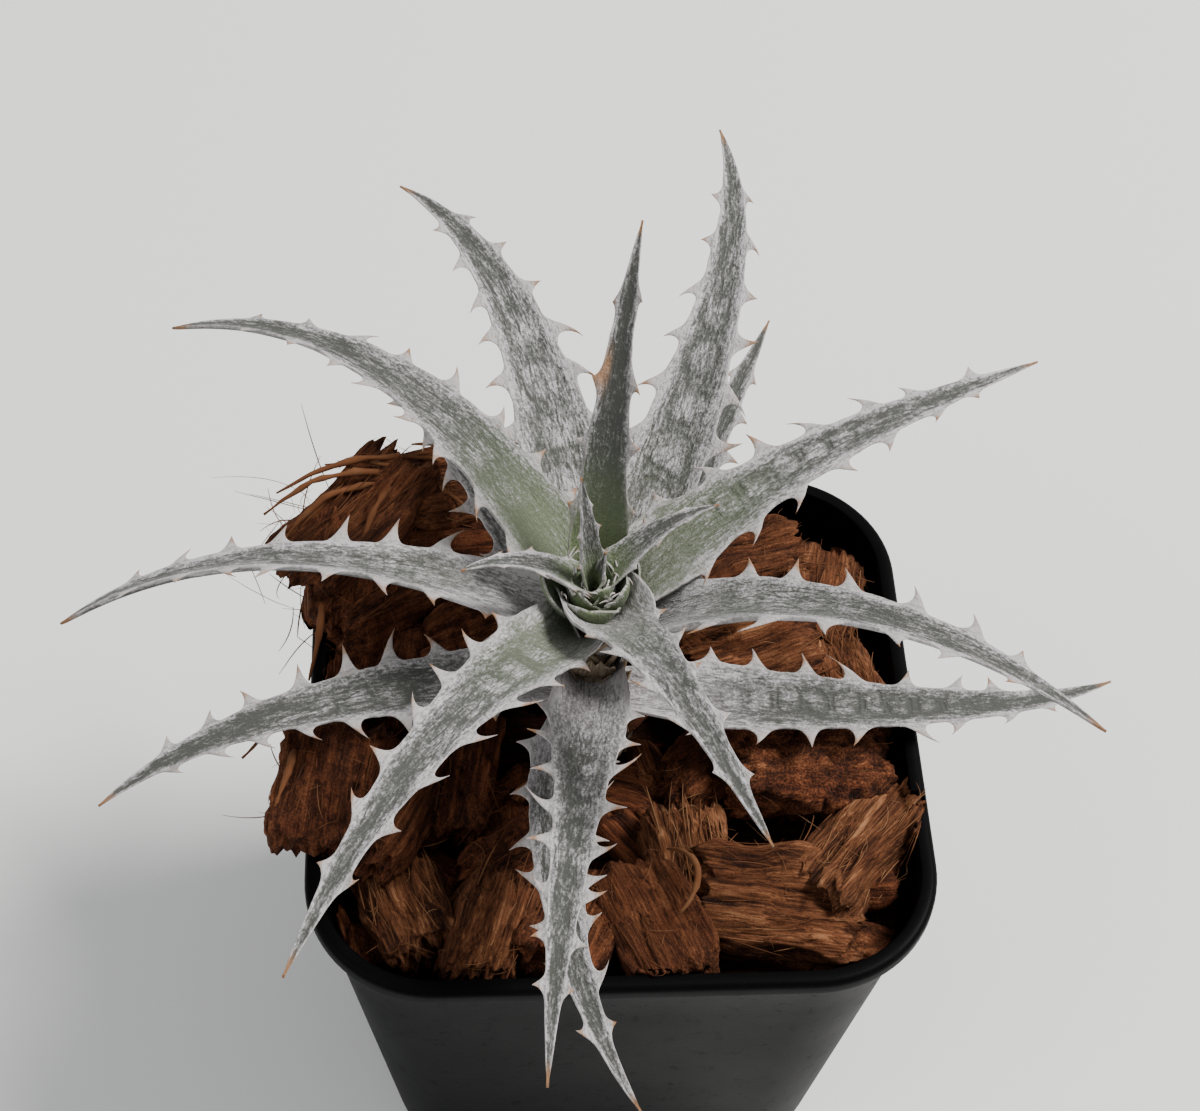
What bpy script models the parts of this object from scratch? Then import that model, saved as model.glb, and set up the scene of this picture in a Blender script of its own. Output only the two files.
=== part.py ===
"""Dyckia bromeliad in a square nursery pot of coconut husk chips.

Metres, +Z up. The origin is the middle of the pot's underside; the pot stands on Z = 0 with its
walls square to X and Y, and -Y is its front.
"""

import math
import random
from typing import NamedTuple

import bmesh
import bpy
import numpy as np
from mathutils import Matrix, Vector

MM = 0.001
CLEARANCE = 0.35 * MM

# Pot: a thin tapered box with rounded corners and a turned-out lip
POT_HEIGHT = 92 * MM
LIP_HALF = 50 * MM
LIP_RADIUS = 21 * MM
LIP_DEPTH = 3.2 * MM
LIP_TOP_ROUND = 0.8 * MM
LIP_OVERHANG = 1.6 * MM
BASE_HALF = 37.5 * MM
BASE_RADIUS = 14 * MM
WALL = 1.2 * MM
FLOOR = 2.2 * MM
CORNER_STEPS = 7
DRAIN_RADIUS = 3.6 * MM
DRAIN_OFFSET = 21 * MM
FOOT_GROOVE = (9 * MM, 1.0 * MM)

# Coconut husk chips
HUSK_TOP = POT_HEIGHT - 11 * MM
CHIP_SEED = 7

# Stem: a short woody column under the rosette
STEM_X = -4 * MM
STEM_Y = 0.0
STEM_FOOT = POT_HEIGHT - 26 * MM
STEM_TOP = POT_HEIGHT + 30.5 * MM
STEM_FOOT_RADIUS = 5.6 * MM
STEM_TOP_RADIUS = 3.4 * MM

# Leaf section
EDGE_THICKNESS = 0.75 * MM
TIP_THICKNESS = 0.6 * MM
MID_THICKNESS = 2.6 * MM
TIP_HALF_WIDTH = 0.3 * MM
CHANNEL_DEPTH = 0.20
SPINE_LIFT = 0.22
SPINE_START = 0.09
SPINE_END = 0.88
ROW_PHASES = (-1.0, -0.35, 0.0, 0.35)


class Leaf(NamedTuple):
    """One leaf. Angles are in degrees and lengths in millimetres."""

    name: str
    azimuth: float  # heading at the stem, counter-clockwise from +X
    sweep: float  # how far the heading turns by the tip
    curl: float  # further turn, nearly all of it in the last third
    rise: float  # climb at the stem
    droop: float  # how far the climb falls by the tip
    length: float
    height: float  # of the root above the pot's rim
    root: float  # distance of the root from the stem's axis
    width: float
    roll: float  # left margin up, at the stem
    roll_tip: float  # further roll by the tip
    spines: int  # on each margin
    spine: float  # length of the longest
    seed: int


LEAVES = (
    Leaf("leaf_low_right", -7, 13, 24, 2, 18, 85, 7, 6.6, 12.5, 0, 0, 8, 4.2, 11),
    Leaf("leaf_low_front", -107, 38, 7, 20, 20, 77, 9, 6.6, 11.5, 0, 0, 7, 4.0, 12),
    Leaf("leaf_low_back_right", 63, 2, 2, 12, 14, 74, 10, 6.6, 10.5, 0, 0, 6, 3.6, 13),
    Leaf("leaf_low_left", -173, 10, 20, 14, 27, 75, 11, 6.6, 12.0, 0, 0, 8, 4.2, 14),
    Leaf("leaf_low_back_left", 112, 16, 16, 17, 26, 76, 12, 6.6, 11.5, 0, 0, 7, 3.8, 15),
    Leaf("leaf_front", -95, -9, 10, 35, 32, 86, 17, 6.0, 12.5, 0, 0, 8, 3.6, 17),
    Leaf("leaf_back_right", 63, 8, 30, 38, 39, 94, 18, 6.0, 13.0, 0, 0, 8, 4.0, 19),
    Leaf("leaf_back_left", 97, 16, 21, 35, 47, 89, 22, 5.6, 13.0, 0, 0, 8, 4.4, 20),
    Leaf("leaf_left", 163, 18, 12, 23, 58, 84, 24.5, 6.2, 12.5, 16, 12, 8, 4.4, 18),
    Leaf("leaf_right", -16, -25, 4, 51, 67, 82, 25.5, 5.6, 12.5, -14, 0, 7, 4.2, 16),
    Leaf("leaf_upper_left", 121, 33, 18, 31, 52, 88, 28, 5.4, 12.5, 8, 12, 8, 3.6, 22),
    Leaf("leaf_upper_front", -126, 10, 3, 42, 48, 88, 29, 5.4, 13.0, 0, 0, 7, 3.8, 23),
    Leaf("leaf_upper_right", 34, -20, 18, 26, 38, 80, 30.7, 6.4, 12.0, 6, 0, 7, 3.8, 21),
    Leaf("leaf_young_front", -72, 0, 6, 51, 58, 63, 33, 5.0, 9.5, 0, 0, 5, 2.4, 24),
    Leaf("leaf_young_back", 84, -14, 3, 74, 27, 57, 32.5, 5.6, 8.2, 0, 0, 4, 2.2, 25),
)

# Young leaves that are still joined at the growing point
HEART_LEAVES = (
    Leaf("left", 172, 30, 8, 50, 46, 23, 35, 1.2, 6.0, 10, 0, 3, 1.3, 31),
    Leaf("right", 38, -30, 0, 42, 32, 22, 36, 1.2, 5.0, 0, 0, 3, 1.0, 32),
    Leaf("upright", 124, 0, 0, 82, 4, 22, 36, 0.8, 4.4, 0, 0, 3, 0.9, 33),
    Leaf("cup_front", -98, 0, 0, 70, 10, 9, 35, 1.4, 6.0, 0, 0, 2, 0.8, 34),
    Leaf("cup_right", -20, 0, 0, 72, 12, 10, 35, 1.4, 5.5, 0, 0, 2, 0.8, 35),
    Leaf("cup_back_left", 146, 0, 0, 74, 10, 10, 36, 1.4, 5.0, 0, 0, 2, 0.8, 36),
    Leaf("cup_front_left", -150, 0, 0, 66, 12, 9, 35, 1.4, 5.5, 0, 0, 2, 0.8, 37),
    Leaf("bud", 20, 0, 0, 84, 0, 7, 37, 0.4, 3.0, 0, 0, 1, 0.4, 38),
)


class Chip(NamedTuple):
    """One husk chip, placed by its middle. Millimetres and degrees, heights above the husk's bed."""

    x: float
    y: float
    z: float
    length: float
    width: float
    depth: float
    turn: float
    tilt: float
    lean: float


# The chips that show between the leaves
CHIPS = (
    Chip(24, -33, 5, 23, 17, 9, -8, 8, 4),
    Chip(38, -24, 6, 22, 12, 9, 52, -14, 8),
    Chip(31, -9, 8, 26, 15, 10, 4, 6, 10),
    Chip(11, -25, 4, 17, 13, 9, 100, 10, -8),
    Chip(5, -36, 5, 20, 14, 9, 112, -12, 6),
    Chip(-8, -35, 4, 17, 14, 9, 65, 10, 12),
    Chip(-21, -36, 5, 16, 12, 10, 74, 12, -10),
    Chip(-33, -33, 5, 15, 13, 9, 110, -16, 8),
    Chip(-16, -22, 4, 21, 10, 8, 38, 14, 10),
    Chip(-38, -14, 9, 24, 17, 10, 66, -18, 8),
    Chip(-46, -15, 14, 20, 16, 9, 78, -10, -14),
    Chip(-27, -8, 8, 22, 15, 9, 80, 10, -6),
    Chip(-39, 8, 8, 20, 15, 9, 86, -8, 8),
    Chip(-25, 13, 8, 20, 17, 9, 20, 8, -8),
    Chip(-37, 25, 10, 24, 15, 9, 40, -14, 12),
    Chip(-24, 33, 10, 25, 14, 9, 8, 16, 8),
    Chip(-42, 36, 17, 27, 17, 10, 46, -8, -10),
    Chip(-28, 43, 16, 22, 14, 10, 12, 14, 8),
    Chip(-43, 27, 14, 20, 14, 9, 84, 8, -12),
    Chip(-8, 29, 8, 20, 15, 9, 62, -8, 10),
    Chip(7, 34, 7, 19, 15, 9, -28, 10, -8),
    Chip(24, 32, 7, 22, 16, 9, 24, -10, 8),
    Chip(36, 24, 6, 19, 15, 9, 74, 10, 10),
    Chip(24, 12, 7, 23, 17, 10, 14, 8, -10),
    Chip(38, 6, 7, 18, 14, 10, 96, -12, 6),
    Chip(12, 19, 6, 17, 13, 9, -44, 12, 8),
    Chip(16, -6, 3, 17, 12, 9, 40, 8, 8),
)


def clear_scene():
    for old in list(bpy.data.objects):
        bpy.data.objects.remove(old)


def new_collection(name, parent=None):
    made = bpy.data.collections.new(name)
    (parent or bpy.context.scene.collection).children.link(made)
    return made


def material(name, colour, roughness):
    made = bpy.data.materials.new(name)
    made.use_nodes = True
    shader = made.node_tree.nodes["Principled BSDF"]
    shader.inputs["Base Color"].default_value = (*colour, 1)
    shader.inputs["Roughness"].default_value = roughness
    shader.inputs["Metallic"].default_value = 0.0
    return made


def mesh_object(name, points, faces, collection, skin, smooth_angle=None):
    """An object from points and faces, with its faces pointing out."""
    mesh = bpy.data.meshes.new(name)
    mesh.from_pydata([tuple(map(float, p)) for p in points], [], faces)
    form = bmesh.new()
    form.from_mesh(mesh)
    bmesh.ops.recalc_face_normals(form, faces=form.faces)
    form.to_mesh(mesh)
    form.free()
    mesh.materials.append(skin)
    if smooth_angle is not None:
        mesh.shade_smooth()
        mesh.set_sharp_from_angle(angle=math.radians(smooth_angle))
    made = bpy.data.objects.new(name, mesh)
    collection.objects.link(made)
    return made


def rounded_square(half, radius, steps=CORNER_STEPS):
    """Points round a square with rounded corners, counter-clockwise."""
    points = []
    for corner in range(4):
        for step in range(steps + 1):
            turn = math.radians(90 * corner + 90 * step / steps)
            side = math.radians(90 * corner + 45)
            centre = (half - radius) * math.sqrt(2)
            points.append(
                (
                    centre * math.cos(side) + radius * math.cos(turn),
                    centre * math.sin(side) + radius * math.sin(turn),
                )
            )
    return points


def square_loft(name, sections, collection, skin):
    """A closed body through rounded squares (half width, corner radius, height), capped at both ends."""
    rings = [
        [(x, y, z) for x, y in rounded_square(half, radius)]
        for half, radius, z in sections
    ]
    count = len(rings[0])
    points = [p for ring in rings for p in ring]
    faces = [
        (
            a * count + i,
            a * count + (i + 1) % count,
            (a + 1) * count + (i + 1) % count,
            (a + 1) * count + i,
        )
        for a in range(len(rings) - 1)
        for i in range(count)
    ]
    faces.append(tuple(range(count)))
    faces.append(tuple((len(rings) - 1) * count + i for i in range(count)))
    return mesh_object(name, points, faces, collection, skin, smooth_angle=40)


def wall_at(z):
    """Outer half width and corner radius of the pot's wall at a height."""
    share = z / POT_HEIGHT
    top_half = LIP_HALF - LIP_OVERHANG
    top_radius = LIP_RADIUS - LIP_OVERHANG
    half = BASE_HALF + (top_half - BASE_HALF) * share
    return half, BASE_RADIUS + (top_radius - BASE_RADIUS) * share


def combine(target, collection, operation, solver="EXACT"):
    """Applies one Boolean of target with every object of a collection, then removes those objects."""
    change = target.modifiers.new(operation.lower(), "BOOLEAN")
    change.operation = operation
    if len(collection.objects) == 1:
        change.object = collection.objects[0]
    else:
        change.operand_type = "COLLECTION"
        change.collection = collection
    change.solver = solver
    graph = bpy.context.evaluated_depsgraph_get()
    made = bpy.data.meshes.new_from_object(target.evaluated_get(graph))
    target.modifiers.clear()
    target.data = made
    for used in list(collection.objects):
        bpy.data.objects.remove(used)


def keep_outer_faces(mesh):
    """Removes the faces round each sealed hollow, so that the body is solid there."""
    form = bmesh.new()
    form.from_mesh(mesh)
    bmesh.ops.triangulate(form, faces=form.faces)
    waiting = set(form.faces)
    while waiting:
        island = set()
        front = [waiting.pop()]
        while front:
            face = front.pop()
            island.add(face)
            for edge in face.edges:
                for other in edge.link_faces:
                    if other in waiting:
                        waiting.remove(other)
                        front.append(other)
        volume = sum(
            f.verts[0].co.dot(f.verts[1].co.cross(f.verts[2].co)) for f in island
        )
        if volume < 0:
            bmesh.ops.delete(form, geom=list(island), context="FACES")
    form.to_mesh(mesh)
    form.free()


def cylinder(name, radius, low, high, x, y, collection, top_radius=None, sides=10):
    """A plain or tapered cylinder that stands on low and ends at high."""
    form = bmesh.new()
    bmesh.ops.create_cone(
        form,
        cap_ends=True,
        segments=sides,
        radius1=radius,
        radius2=radius if top_radius is None else top_radius,
        depth=high - low,
        matrix=Matrix.Translation((x, y, (low + high) / 2)),
    )
    mesh = bpy.data.meshes.new(name)
    form.to_mesh(mesh)
    form.free()
    made = bpy.data.objects.new(name, mesh)
    collection.objects.link(made)
    return made


def box(name, size, middle, collection):
    form = bmesh.new()
    bmesh.ops.create_cube(
        form, size=1, matrix=Matrix.Translation(middle) @ Matrix.Diagonal((*size, 1))
    )
    mesh = bpy.data.meshes.new(name)
    form.to_mesh(mesh)
    form.free()
    made = bpy.data.objects.new(name, mesh)
    collection.objects.link(made)
    return made


def make_pot(collection, cutters, skin):
    """The wall, lip and floor in one closed body, open at the top, with drainage holes and grooves."""
    lip_low = POT_HEIGHT - LIP_DEPTH
    foot_half, foot_radius = wall_at(0)
    under_half, under_radius = wall_at(lip_low)
    top_half, top_radius = wall_at(POT_HEIGHT)
    sections = [
        (foot_half - 1.0 * MM, foot_radius - 1.0 * MM, 0),
        (foot_half, foot_radius, 1.2 * MM),
        (under_half, under_radius, lip_low),
        (LIP_HALF, LIP_RADIUS, lip_low),
        (LIP_HALF, LIP_RADIUS, POT_HEIGHT - LIP_TOP_ROUND),
        (LIP_HALF - LIP_TOP_ROUND, LIP_RADIUS - LIP_TOP_ROUND, POT_HEIGHT),
        (top_half - WALL, top_radius - WALL, POT_HEIGHT),
        (foot_half - WALL, foot_radius - WALL, FLOOR),
    ]
    pot = square_loft("pot", sections, collection, skin)
    drains = new_collection("drains", cutters)
    for quarter in range(4):
        diagonal = math.radians(45 + 90 * quarter)
        side = math.radians(90 * quarter)
        for turn, reach in ((diagonal, DRAIN_OFFSET * 1.3), (side, DRAIN_OFFSET)):
            cylinder(
                f"drain_{quarter}_{reach:.3f}",
                DRAIN_RADIUS,
                -4 * MM,
                FLOOR + 4 * MM,
                reach * math.cos(turn),
                reach * math.sin(turn),
                drains,
            )
    groove_width, groove_depth = FOOT_GROOVE
    for along_x in (True, False):
        for end in (-1, 1):
            outward = end * BASE_HALF
            size = (12 * MM, groove_width) if along_x else (groove_width, 12 * MM)
            middle = (outward, 0) if along_x else (0, outward)
            box(
                f"groove_{along_x}_{end}",
                (*size, 2 * groove_depth),
                (*middle, 0),
                drains,
            )
    combine(pot, drains, "DIFFERENCE")
    return pot


def chip_object(name, chip, collection, draw):
    """A rough block of husk: a cube with clipped corners, each of its points moved a little."""
    form = bmesh.new()
    bmesh.ops.create_cube(form, size=1)
    bmesh.ops.bevel(
        form,
        geom=[v for v in form.verts],
        offset=0.22,
        segments=1,
        affect="VERTICES",
    )
    turn = Matrix.Rotation(math.radians(chip.turn), 4, "Z")
    tilt = Matrix.Rotation(math.radians(chip.tilt), 4, "X")
    lean = Matrix.Rotation(math.radians(chip.lean), 4, "Y")
    size = Matrix.Diagonal((chip.length * MM, chip.width * MM, chip.depth * MM, 1))
    place = Matrix.Translation((chip.x * MM, chip.y * MM, HUSK_TOP + chip.z * MM))
    for point in form.verts:
        rough = Vector([draw.uniform(-0.07, 0.07) for _ in range(3)])
        point.co = place @ turn @ tilt @ lean @ size @ (point.co + rough)
    mesh = bpy.data.meshes.new(name)
    form.to_mesh(mesh)
    form.free()
    made = bpy.data.objects.new(name, mesh)
    collection.objects.link(made)
    return made


def make_husk(collection, cutters, skin):
    """The chips and the packed bed below them, with a plain hole for the stem."""
    draw = random.Random(CHIP_SEED)

    def inside(z, gap):
        half, radius = wall_at(z)
        return half - WALL - gap, radius - WALL - gap, z

    bed = square_loft(
        "husk_chips",
        [inside(FLOOR + CLEARANCE, 2 * CLEARANCE), inside(HUSK_TOP, 2 * CLEARANCE)],
        collection,
        skin,
    )
    loose = new_collection("loose_chips", cutters)
    for number, chip in enumerate(CHIPS):
        chip_object(f"chip_{number}", chip, loose, draw)
    combine(bed, loose, "UNION", "MANIFOLD")
    trims = new_collection("husk_trims", cutters)
    stem_reach = STEM_FOOT_RADIUS + CLEARANCE
    cylinder(
        "stem_hole",
        stem_reach,
        STEM_FOOT - CLEARANCE,
        POT_HEIGHT + 30 * MM,
        STEM_X,
        STEM_Y,
        trims,
        sides=16,
    )
    combine(bed, trims, "DIFFERENCE", "MANIFOLD")
    # Only what lies inside the pot's wall, or above its rim, stays
    room = new_collection("husk_room", cutters)
    edge = POT_HEIGHT + CLEARANCE
    square_loft(
        "husk_allowed",
        [
            inside(FLOOR - CLEARANCE, CLEARANCE),
            inside(edge, CLEARANCE),
            (LIP_HALF + 20 * MM, LIP_RADIUS, edge),
            (LIP_HALF + 20 * MM, LIP_RADIUS, edge + 60 * MM),
        ],
        room,
        skin,
    )
    combine(bed, room, "INTERSECT", "MANIFOLD")
    keep_outer_faces(bed.data)
    return bed


def make_stem(collection, skin):
    stem = cylinder(
        "stem",
        STEM_FOOT_RADIUS,
        STEM_FOOT,
        STEM_TOP,
        STEM_X,
        STEM_Y,
        collection,
        top_radius=STEM_TOP_RADIUS,
        sides=14,
    )
    stem.data.materials.append(skin)
    stem.data.shade_smooth()
    stem.data.set_sharp_from_angle(angle=math.radians(40))
    return stem


MIDLINE_STEPS = 200


def midline(leaf):
    """Points along the leaf's middle, with the directions along it, to its left and up from it."""
    share = np.linspace(0, 1, MIDLINE_STEPS + 1)
    heading = np.radians(leaf.azimuth + leaf.sweep * share + leaf.curl * share**3)
    climb = np.radians(leaf.rise - leaf.droop * share)
    along = np.stack(
        [
            np.cos(climb) * np.cos(heading),
            np.cos(climb) * np.sin(heading),
            np.sin(climb),
        ],
        axis=1,
    )
    left = np.stack([-np.sin(heading), np.cos(heading), 0 * share], axis=1)
    up = np.cross(along, left)
    roll = np.radians(leaf.roll + leaf.roll_tip * share)[:, None]
    left, up = (
        left * np.cos(roll) + up * np.sin(roll),
        up * np.cos(roll) - left * np.sin(roll),
    )
    step = leaf.length * MM / MIDLINE_STEPS
    middle = (along[1:] + along[:-1]) / 2 * step
    first = np.radians(leaf.azimuth)
    root = np.array(
        [
            STEM_X + leaf.root * MM * np.cos(first),
            STEM_Y + leaf.root * MM * np.sin(first),
            POT_HEIGHT + leaf.height * MM,
        ]
    )
    points = np.vstack([root, root + np.cumsum(middle, axis=0)])
    return share, points, left, up


def half_width(leaf, share):
    """Half the blade's width, without its spines."""
    sheath = np.minimum(1.0, 0.62 + 2.3 * share)
    taper = np.minimum(1.0, np.maximum(0.0, 1 - share) / 0.85) ** 0.85
    return np.maximum(leaf.width / 2 * MM * sheath * taper, TIP_HALF_WIDTH)


def spine_sets(leaf):
    """For each margin, each spine's (length, hook along the leaf, shift along the leaf), in metres."""
    draw = random.Random(leaf.seed)
    pitch = (SPINE_END - SPINE_START) * leaf.length * MM / max(leaf.spines, 1)
    sets = []
    for _margin in range(2):
        spines = []
        for number in range(leaf.spines):
            place = (number + 0.5) / leaf.spines
            size = leaf.spine * MM * min(1.0, 0.45 + 1.8 * place) * (1 - 0.72 * place**2)
            length = size * draw.uniform(0.78, 1.12)
            hook = length * draw.uniform(-0.85, 0.45)
            shift = pitch * draw.uniform(-0.16, 0.16)
            spines.append((length, hook, shift))
        sets.append(spines)
    return sets


def leaf_rows(leaf, phases=ROW_PHASES):
    """(share along the leaf, spine number or None, phase across that spine) for each row of points."""
    rows = [(0.0, None, 0.0), (SPINE_START * 0.5, None, 0.0)]
    pitch = (SPINE_END - SPINE_START) / max(leaf.spines, 1)
    for number in range(leaf.spines):
        middle = SPINE_START + (number + 0.5) * pitch
        rows += [(middle + phase * pitch / 2, number, phase) for phase in phases]
    rows += [(share, None, 0.0) for share in (SPINE_END, 0.93, 0.97, 1.0)]
    return rows


def leaf_points(leaf):
    """Rings of six points, from the left margin over the top to the right one and back below."""
    share, middle, left, up = midline(leaf)
    spines = spine_sets(leaf)
    size = leaf.length * MM
    thick = min(1.0, leaf.width / 11)

    def at(values, place):
        return np.array([np.interp(place, share, values[:, k]) for k in range(3)])

    rings = []
    for place, number, phase in leaf_rows(leaf):
        half = float(half_width(leaf, place))
        fade = 1 - place
        edge = TIP_THICKNESS + (EDGE_THICKNESS - TIP_THICKNESS) * fade
        depth = TIP_THICKNESS + (MID_THICKNESS * thick - TIP_THICKNESS) * fade**0.5
        depth *= min(1.0, 0.8 + place)
        raised = CHANNEL_DEPTH * half * (1 + 0.8 * max(0.0, 1 - place / 0.2))
        outer = []
        for side, margin in zip((1, -1), spines):
            length, hook, shift = margin[number] if number is not None else (0, 0, 0)
            reach = length * (1 - abs(phase)) ** 4
            moved = hook * (1 - abs(phase)) ** 2 + shift * (1 - abs(phase))
            spot = min(max(place + moved / size, 0.0), 1.0)
            sunk = 0.05 * length * abs(phase) ** 2 if number is not None else 0
            aside = side * (half - sunk + reach)
            lift = raised + SPINE_LIFT * reach
            thin = edge - 0.15 * MM * (reach / max(length, MM))
            top = at(middle, spot) + at(left, spot) * aside + at(up, spot) * lift
            outer.append((top, top - at(up, spot) * thin))
        centre = at(middle, place)
        keel = centre - at(up, place) * depth
        (left_top, left_low), (right_top, right_low) = outer
        rings.append([left_top, centre, right_top, right_low, keel, left_low])
    return rings


def leaf_faces(row_count, ring=6):
    """Triangles of the blade, split alike on its two faces, and its end caps."""
    faces = []
    for row in range(row_count - 1):
        a, b = row * ring, (row + 1) * ring
        # (first, second) columns of each strip; the mirrored ones are split the other way
        for first, second, flip in (
            (0, 1, False),
            (1, 2, False),
            (2, 3, False),
            (3, 4, True),
            (4, 5, True),
            (5, 0, False),
        ):
            if flip:
                faces.append((a + first, a + second, b + first))
                faces.append((a + second, b + second, b + first))
            else:
                faces.append((a + first, a + second, b + second))
                faces.append((a + first, b + second, b + first))
    last = (row_count - 1) * ring
    for start, order in ((0, 1), (last, -1)):
        loop = [start + k for k in (0, 1, 2, 3, 4, 5)][::order]
        faces.append(tuple(loop))
    return faces


def leaf_object(leaf, collection, skin, name=None):
    rings = leaf_points(leaf)
    points = [p for ring in rings for p in ring]
    faces = leaf_faces(len(rings))
    return mesh_object(name or leaf.name, points, faces, collection, skin, 35)


def make_heart(collection, cutters, skin):
    """The growing point: a small core with the youngest leaves round it, in one body."""
    form = bmesh.new()
    bmesh.ops.create_uvsphere(form, u_segments=10, v_segments=6, radius=1)
    size = Matrix.Diagonal((3.0 * MM, 3.0 * MM, 4.0 * MM, 1))
    middle = Matrix.Translation((STEM_X, STEM_Y, STEM_TOP + CLEARANCE + 4.0 * MM))
    bmesh.ops.transform(form, matrix=middle @ size, verts=form.verts)
    mesh = bpy.data.meshes.new("heart")
    form.to_mesh(mesh)
    form.free()
    heart = bpy.data.objects.new("heart", mesh)
    collection.objects.link(heart)
    mesh.materials.append(skin)
    joined = new_collection("heart_leaves", cutters)
    for leaf in HEART_LEAVES:
        leaf_object(leaf, joined, skin, "heart_" + leaf.name)
    combine(heart, joined, "UNION")
    return heart


def main():
    clear_scene()
    plant = new_collection("dyckia_in_pot")
    cutters = new_collection("cutters")
    plastic = material("pot_plastic", (0.018, 0.018, 0.021), 0.42)
    husk = material("coconut_husk", (0.20, 0.075, 0.03), 0.92)
    scurf = material("leaf_scurf", (0.46, 0.49, 0.46), 0.85)
    young = material("young_leaf", (0.26, 0.33, 0.24), 0.75)
    bark = material("stem_bark", (0.20, 0.17, 0.12), 0.9)
    make_pot(plant, cutters, plastic)
    make_husk(plant, cutters, husk)
    make_stem(plant, bark)
    for leaf in LEAVES:
        leaf_object(leaf, plant, scurf)
    make_heart(plant, cutters, young)


main()
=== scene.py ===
import itertools
import math
import random
from typing import NamedTuple

import bmesh
import bpy
import numpy as np
from mathutils import Matrix, Vector


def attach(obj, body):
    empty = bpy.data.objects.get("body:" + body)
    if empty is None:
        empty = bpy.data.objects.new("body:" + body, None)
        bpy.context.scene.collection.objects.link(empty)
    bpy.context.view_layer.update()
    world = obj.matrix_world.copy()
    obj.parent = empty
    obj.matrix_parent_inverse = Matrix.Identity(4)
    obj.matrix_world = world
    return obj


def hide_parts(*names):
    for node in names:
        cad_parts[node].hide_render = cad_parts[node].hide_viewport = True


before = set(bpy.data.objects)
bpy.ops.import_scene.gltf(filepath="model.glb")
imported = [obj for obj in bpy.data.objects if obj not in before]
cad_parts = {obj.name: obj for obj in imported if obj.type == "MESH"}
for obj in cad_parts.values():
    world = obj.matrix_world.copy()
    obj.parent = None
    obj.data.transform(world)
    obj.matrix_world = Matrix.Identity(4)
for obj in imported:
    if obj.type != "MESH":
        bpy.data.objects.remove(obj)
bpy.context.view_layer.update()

MM = 0.001

# ---- Sizes that repeat the CAD model's ----
POT_HEIGHT = 92 * MM
LIP_HALF = 50 * MM
LIP_RADIUS = 21 * MM
LIP_DEPTH = 3.2 * MM
LIP_OVERHANG = 1.6 * MM
LIP_ROUND = 1.15 * MM
BASE_HALF = 37.5 * MM
BASE_RADIUS = 14 * MM
WALL = 1.2 * MM
FLOOR = 2.2 * MM
DRAIN_RADIUS = 3.6 * MM
DRAIN_OFFSET = 21 * MM
GROOVE_WIDTH, GROOVE_DEPTH, GROOVE_RUN = 9 * MM, 1.0 * MM, 12 * MM
GAP = 0.35 * MM
HUSK_TOP = POT_HEIGHT - 11 * MM
STEM_X, STEM_Y = -4 * MM, 0.0
STEM_FOOT = POT_HEIGHT - 26 * MM
STEM_TOP = POT_HEIGHT + 30.5 * MM
STEM_FOOT_RADIUS, STEM_TOP_RADIUS = 5.6 * MM, 3.4 * MM
EDGE_THICKNESS = 0.75 * MM
TIP_THICKNESS = 0.6 * MM
MID_THICKNESS = 2.6 * MM
CHANNEL_DEPTH = 0.25
SPINE_LIFT = 0.22
SPINE_START, SPINE_END = 0.09, 0.88


class Leaf(NamedTuple):
    """One leaf, in degrees and millimetres, as in the CAD model."""

    name: str
    azimuth: float
    sweep: float
    curl: float
    rise: float
    droop: float
    length: float
    height: float
    root: float
    width: float
    roll: float
    roll_tip: float
    spines: int
    spine: float
    seed: int


class Look(NamedTuple):
    """How a leaf's surface differs from its neighbours'."""

    fresh: float  # green at the root
    scurf: float  # how densely the pale scales cover it
    plate: float  # pitch of the bud prints, mm
    offset: float  # of the bud prints from the middle, as a share of the half width
    start: float  # where the bud prints begin and end, as shares of the length
    end: float
    slim: float  # how much wider or narrower the outer part is
    mark: float  # how clear the bud prints are
    claw: float  # how long the spines grow


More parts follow.
